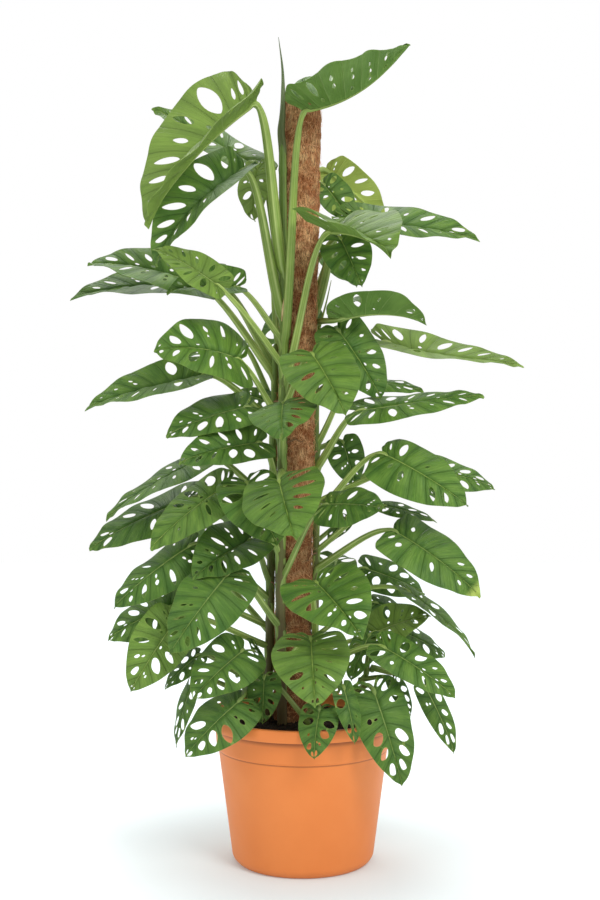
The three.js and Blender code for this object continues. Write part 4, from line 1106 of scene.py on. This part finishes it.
def crumbs(shape, rng):
    """Small crumbs and bark chips that lie on the soil."""
    phi = (1 + 5 ** 0.5) / 2
    corners = np.array([(-1, phi, 0), (1, phi, 0), (-1, -phi, 0), (1, -phi, 0), (0, -1, phi), (0, 1, phi),
                        (0, -1, -phi), (0, 1, -phi), (phi, 0, -1), (phi, 0, 1), (-phi, 0, -1), (-phi, 0, 1)])
    corners /= np.linalg.norm(corners[0])
    faces = [(0, 11, 5), (0, 5, 1), (0, 1, 7), (0, 7, 10), (0, 10, 11), (1, 5, 9), (5, 11, 4), (11, 10, 2),
             (10, 7, 6), (7, 1, 8), (3, 9, 4), (3, 4, 2), (3, 2, 6), (3, 6, 8), (3, 8, 9), (4, 9, 5),
             (2, 4, 11), (6, 2, 10), (8, 6, 7), (9, 8, 1)]
    for _ in range(CRUMBS):
        radius = CRUMB_REACH * math.sqrt(rng.random())
        turn = rng.uniform(0, 2 * math.pi)
        place = np.array([radius * math.cos(turn), radius * math.sin(turn), 0.0])
        if np.linalg.norm(place[:2] - pole_centre(SOIL_CROWN)[:2]) < POLE["radius"] + 2:
            continue
        size = 0.9 + 2.6 * rng.random() ** 3
        place[2] = soil_height(radius, CRUMB_MOUND) - 0.6
        stretch = np.array([1, rng.uniform(0.5, 1), rng.uniform(0.35, 0.8)]) * size
        spin = rng.uniform(0, 2 * math.pi)
        turned = (corners + rng.uniform(-0.2, 0.2, corners.shape)) * stretch
        cosine, sine = math.cos(spin), math.sin(spin)
        turned = turned @ np.array([[cosine, sine, 0], [-sine, cosine, 0], [0, 0, 1]])
        shape.add(turned + place, faces, finish=1 if rng.random() < 0.6 else 0)


# Coir pole: bore of its sleeve, number of loose fibres, and the stake's heights and radii up to its eased end
SLEEVE_BORE = 15.6
FIBRES = 2900
STAKE_HEIGHTS = (POLE["bottom"], 1288, 1290.2, 1291)
STAKE_RADII = (15, 15, 14.6, 13.6)


def make_pole():
    shape = Shape()
    sides, rows = 104, 440
    heights = np.linspace(POLE["bottom"], POLE["top"], rows)
    turns = np.linspace(0, 2 * math.pi, sides, endpoint=False)
    grid_h, grid_t = np.meshgrid(heights, turns, indexing="ij")
    grid_h, grid_t = grid_h.ravel(), grid_t.ravel()
    round_place = np.stack([30 * np.cos(grid_t), 30 * np.sin(grid_t), grid_h], axis=1)
    lumps = (1.6 * lattice_noise(round_place, 34, 5) + 1.5 * lattice_noise(round_place, 13, 6)
             + 1.0 * lattice_noise(round_place, 5, 7) + 0.5 * lattice_noise(round_place, 2.4, 8))
    skin = round_pole(grid_h, grid_t, POLE["radius"] + 0.4 + lumps)
    inner_heights = (POLE["top"] + 1.5, POLE["bottom"] + 1)
    inner = [pole_centre(height) + ring(SLEEVE_BORE, turns, 0) for height in inner_heights]
    points = np.vstack([skin, *inner])
    faces = []
    for r in range(rows + 2):
        for k in range(sides):
            after = (k + 1) % sides
            a, b = r * sides + k, r * sides + after
            c = ((r + 1) % (rows + 2)) * sides
            faces.append((a, b, c + after, c + k))
    shape.add(points, faces)
    settle(shape.piece("coir_wrap", [COIR], 60), "coir", "coir_sleeve")


def make_fibres():
    """Loose fibres that lie over the felt, with some that stand off it."""
    rng = np.random.default_rng(23)
    shape = Shape()
    for _ in range(FIBRES):
        height = rng.uniform(SOIL_CROWN + 5, POLE["top"] - 4)
        turn = rng.uniform(0, 2 * math.pi)
        loose = rng.random() < 0.3
        length = rng.uniform(10, 28) if loose else rng.uniform(14, 46)
        slope = rng.uniform(-1.3, 1.3)
        bow = rng.uniform(-14, 14)
        steps = np.linspace(0, 1, 5)
        travel = (steps - 0.5) * length
        heights = height + travel * math.sin(slope) + bow * (steps - 0.5) ** 2
        bearing = turn + travel * math.cos(slope) / POLE["radius"]
        lift = 0.5 + 0.5 * rng.random() + 0.5 * np.sin(steps * math.pi)
        if loose:
            lift = lift + (2 + 8 * rng.random() ** 2) * steps ** 2
        heights = np.clip(heights, SOIL_CROWN - 2, POLE["top"] - 0.5)
        line = round_pole(heights, bearing, POLE["radius"] + 0.6 + lift)
        radii = rng.uniform(0.14, 0.3) * (1 - 0.5 * steps)
        add_tube(shape, line, radii, 3, facing=np.array([0.3, 0.2, 1.0]))
    settle(shape.piece("coir_fibres", [FIBRE], 60), "coir")


def make_stake():
    shape = Shape()
    add_tube(shape, [pole_centre(height) for height in STAKE_HEIGHTS], STAKE_RADII, 40)
    settle(shape.piece("stake_core", [STAKE_WOOD], 30), "stake_wood", "stake")


# Stems, shoots and leaves
NODE_SWELL = 0.13
NODE_REACH = 3.5
NODE_SPACING = 62
STEM_TIP = (0.98, 0.9, 0.72, 0.35)
SHOOT_POINTS = 40


def root_on(name, height, start):
    centre = stem_point(name, height)
    aside = (start - centre) * (1, 1, 0)
    return centre + unit(aside) * ROOT_SHARE * STEMS[name][2][1]


def small_rows(name):
    return [row for row in SMALL_LEAVES if row[0] == name]


def node_heights(name):
    rows = [row[2] for row in LEAVES if row[1] == name] + [row[1] for row in small_rows(name)]
    top = STEMS[name][1]
    between = list(np.arange(SOIL_CROWN + 40, top - 30, NODE_SPACING))
    return sorted(rows + [h for h in between if all(abs(h - row) > 24 for row in rows)])


def make_stem(name, seed):
    """A climbing stem with ringed nodes and aerial roots that grip the pole."""
    rng = np.random.default_rng(seed)
    shape = Shape()
    top = STEMS[name][1]
    nodes = node_heights(name)
    heights = np.linspace(SOIL_CROWN - 40, top, 150)
    line = np.array([stem_point(name, height) for height in heights])
    radii = np.array([stem_radius(name, height) for height in heights])
    for node in nodes:
        radii = radii * (1 + NODE_SWELL * np.exp(-((heights - node) / NODE_REACH) ** 2))
    radii[-4:] *= STEM_TIP
    add_tube(shape, line, radii, 14, kind=0.85, finish=0)
    for node in nodes:
        if rng.random() < 0.4:
            add_aerial_root(shape, name, node, rng)
    return shape


def add_aerial_root(shape, name, node, rng):
    """A short root from a node that creeps round the pole."""
    centre = stem_point(name, node)
    out = centre - pole_centre(node)
    bearing = math.atan2(out[1], out[0])
    way = rng.choice((-1, 1))
    length = rng.uniform(18, 44)
    steps = np.linspace(0, 1, 9)
    heights = node - 4 - rng.uniform(-6, 14) * steps + 2 * np.sin(steps * 9 + rng.uniform(0, 6))
    bearings = bearing + way * (0.12 + steps * length / POLE["radius"])
    reach = np.linalg.norm(out) - (np.linalg.norm(out) - POLE["radius"] - 1.6) * np.clip(steps * 3, 0, 1)
    add_tube(shape, round_pole(heights, bearings, reach), np.linspace(1.5, 0.5, 9), 6, finish=2)


def swelling_on(name, node):
    """Where a sheath wraps its stem below the node."""
    heights = node - np.array([64, 44, 26, 12])
    points = np.array([stem_point(name, height) for height in heights])
    return points, stem_radius(name, node) * np.array([0.7, 1.02, 1.08, 1.16])


def add_leaf(shape, leaf, root, tint, swelling=None):
    add_stalk(shape, leaf, root, tint, swelling)
    add_blade(shape, leaf, tint)


def make_leaves():
    for index, row in enumerate(LEAVES):
        leaf = Leaf(row, index + 1)
        shape = Shape()
        draw = np.random.default_rng(500 + index).uniform(-0.45, 0.3)
        root = root_on(leaf.stem, leaf.node, leaf.start)
        add_leaf(shape, leaf, root, TINTS.get(leaf.name, draw), swelling_on(leaf.stem, leaf.node))
        piece = shape.piece("monstera_" + leaf.name, [LEAF, PETIOLE_GREEN])
        settle(piece, "leaf_tissue", leaf.name)


# A dry sheath on the front left stem, and a thin one left standing on the right stem
DRY_LINE = ((-35, -38, 900), (-33, -41, 912), (-31, -42, 925), (-30, -42, 938), (-29, -43, 950))
DRY_RADII = (0.8, 2.6, 3.0, 1.8, 0.4)
OLD_SHEATH = ((20, 22, 850), (26, 16, 885), (38, 8, 930), (47, 2, 970))

# Spear: points in the front view, and its radius at some shares of its length
SPEAR_LINE = ((-36, 1214, -24), (-34, 1242, -20), (-33, 1272, -16), (-34, 1318, -12), (-40.5, 1370, -8))
SPEAR_SHARES = (0, 0.14, 0.3, 0.42, 0.56, 0.7, 0.87, 1)
SPEAR_RADII = (5.6, 6.7, 6.3, 4.8, 3.7, 2.4, 1.2, 0.4)


def make_stems():
    for seed, name in enumerate(STEMS):
        shape = make_stem(name, 40 + seed)
        if name == "stem_front_left":
            add_spear(shape)
            add_tube(shape, np.array(DRY_LINE), DRY_RADII, 8, finish=3)
        if name == "stem_right":
            add_tube(shape, smooth_line(OLD_SHEATH, 12), np.linspace(3.2, 0.5, 12), 8, finish=1)
        vine = shape.piece("vine_" + name[5:], [STEM_GREEN, PETIOLE_GREEN, ROOT_BROWN, DRY_SHEATH])
        settle(vine, "stem_tissue", name)
        for index, row in enumerate(small_rows(name)):
            leaf = Leaf((f"{name}_leaf_{index + 1}", *row), 60 + 10 * seed + index, small=True)
            shape = Shape()
            tint = BACK_TINT if "back" in name else 0.0
            root = root_on(name, leaf.node, leaf.start)
            add_leaf(shape, leaf, root, tint, swelling_on(name, leaf.node))
            settle(shape.piece("small_" + leaf.name[5:], [LEAF, PETIOLE_GREEN]), "leaf_tissue")


def make_shoots():
    for seed, (name, (points, radius)) in enumerate(SHOOTS.items()):
        line = smooth_line(points, SHOOT_POINTS)
        shape = Shape()
        share = np.linspace(0, 1, SHOOT_POINTS)
        radii = radius * (1 - 0.3 * share) * (1 + 0.12 * np.exp(-((share * 5 % 1 - 0.5) / 0.08) ** 2))
        add_tube(shape, line, radii, 10, finish=1)
        for index, row in enumerate(small_rows(name)):
            leaf = Leaf((f"{name}_leaf_{index + 1}", *row), 120 + 10 * seed + index, small=True)
            place = leaf.node * (SHOOT_POINTS - 1)
            low = int(place)
            high = min(low + 1, SHOOT_POINTS - 1)
            root = line[low] + (place % 1) * (line[high] - line[low])
            add_leaf(shape, leaf, root, SHOOT_SHADE_TINT)
        settle(shape.piece("young_" + name, [LEAF, PETIOLE_GREEN]), "leaf_tissue", name)


def add_spear(shape):
    """The newest leaf, still rolled up into a spear."""
    name = "stem_front_left"
    points = [stem_point(name, 1150), stem_point(name, 1180)] + [seen(place) for place in SPEAR_LINE]
    line = smooth_line(points, 90)
    radii = np.interp(np.linspace(0, 1, 90), SPEAR_SHARES, SPEAR_RADII)
    add_tube(shape, line, radii, 16, tint=SPEAR_TINT, finish=1, kind=0.3, groove=0.5,
             facing=np.array([-0.3, -1.0, 0]))


make_pot()
make_soil()
make_pole()
make_fibres()
make_stake()
make_stems()
make_shoots()
make_leaves()

# Floor in metres, then the lens: focal length and sensor in millimetres, tilt from straight down in degrees
FLOOR_SIZE = 9.0
LENS = {"length": 60, "sensor": 36, "tilt": 88}

# Softboxes: place, point that each faces and size, in metres, and power in watts
SOFTBOXES = {
    "key_right": ((1.5, -2.4, 2.7), (0, 0, 0.7), (1.2, 1.2), 56),
    "fill_left": ((-2.4, -1.8, 1.6), (0, 0, 0.7), (1.4, 1.4), 9),
    "top_back": ((-0.4, 1.5, 3.0), (0, 0, 0.9), (1.4, 1.0), 24),
}


def make_floor():
    """A pale floor that glows, more far out so that it stays white and less near the pot, a painted shadow
    over its real soft shadow there.
    """
    mesh = bpy.data.meshes.new("pale_floor")
    half = FLOOR_SIZE / 2
    corners = [(-half, -half, 0), (half, -half, 0), (half, half, 0), (-half, half, 0)]
    mesh.from_pydata(corners, [], [(0, 1, 2, 3)])
    made, tree, shader = start_material("pale floor", 0.9, 0.1)
    shader.inputs["Base Color"].default_value = (0.68, 0.76, 0.77, 1)
    shader.inputs["Emission Color"].default_value = (1, 1, 1, 1)
    place = tree.nodes.new("ShaderNodeTexCoord").outputs["Object"]
    distance = add_node(tree, "ShaderNodeVectorMath", {0: place}, operation="LENGTH").outputs["Value"]
    # Painted shadow: the floor's glow is weaker near the pot and rises to full strength half a metre out
    tree.links.new(band(tree, distance, 0.17, 0.52, 0.1, 0.42), shader.inputs["Emission Strength"])
    mesh.materials.append(made)
    floor = bpy.data.objects.new("pale_floor", mesh)
    bpy.context.scene.collection.objects.link(floor)


def make_sky():
    """White where the camera sees it, and a softer light from above for the plant."""
    world = bpy.data.worlds.new("white studio")
    world.use_nodes = True
    tree = world.node_tree
    tree.nodes.clear()
    toward = tree.nodes.new("ShaderNodeTexCoord").outputs["Generated"]
    upward = add_node(tree, "ShaderNodeSeparateXYZ", {0: toward}).outputs[2]
    overhead = band(tree, upward, -0.1, 0.9, 0.45, 0.95)
    seen_directly = tree.nodes.new("ShaderNodeLightPath").outputs["Is Camera Ray"]
    glow = mixed(tree, seen_directly, overhead, (1, 1, 1, 1))
    sky = add_node(tree, "ShaderNodeBackground", {"Color": glow, "Strength": 1.0})
    out = tree.nodes.new("ShaderNodeOutputWorld")
    tree.links.new(sky.outputs[0], out.inputs[0])
    bpy.context.scene.world = world


def add_softbox(name, place, aim, size, power):
    light = bpy.data.lights.new(name, "AREA")
    light.shape = "RECTANGLE"
    light.size, light.size_y = size
    light.energy = power
    lamp = bpy.data.objects.new(name, light)
    lamp.location = place
    lamp.rotation_euler = (Vector(aim) - Vector(place)).to_track_quat("-Z", "Y").to_euler()
    bpy.context.scene.collection.objects.link(lamp)


make_floor()
make_sky()
for lamp_name, row in SOFTBOXES.items():
    add_softbox(lamp_name, *row)

lens = bpy.data.cameras.new("photo_camera")
lens.lens = LENS["length"]
lens.sensor_width = LENS["sensor"]
camera = bpy.data.objects.new("photo_camera", lens)
camera.location = (EYE["x"] / 1000, -EYE["distance"] / 1000, EYE["height"] / 1000)
camera.rotation_euler = (math.radians(LENS["tilt"]), 0, 0)
bpy.context.scene.collection.objects.link(camera)
bpy.context.scene.camera = camera
bpy.context.scene.view_settings.view_transform = "Standard"

bpy.context.view_layer.update()
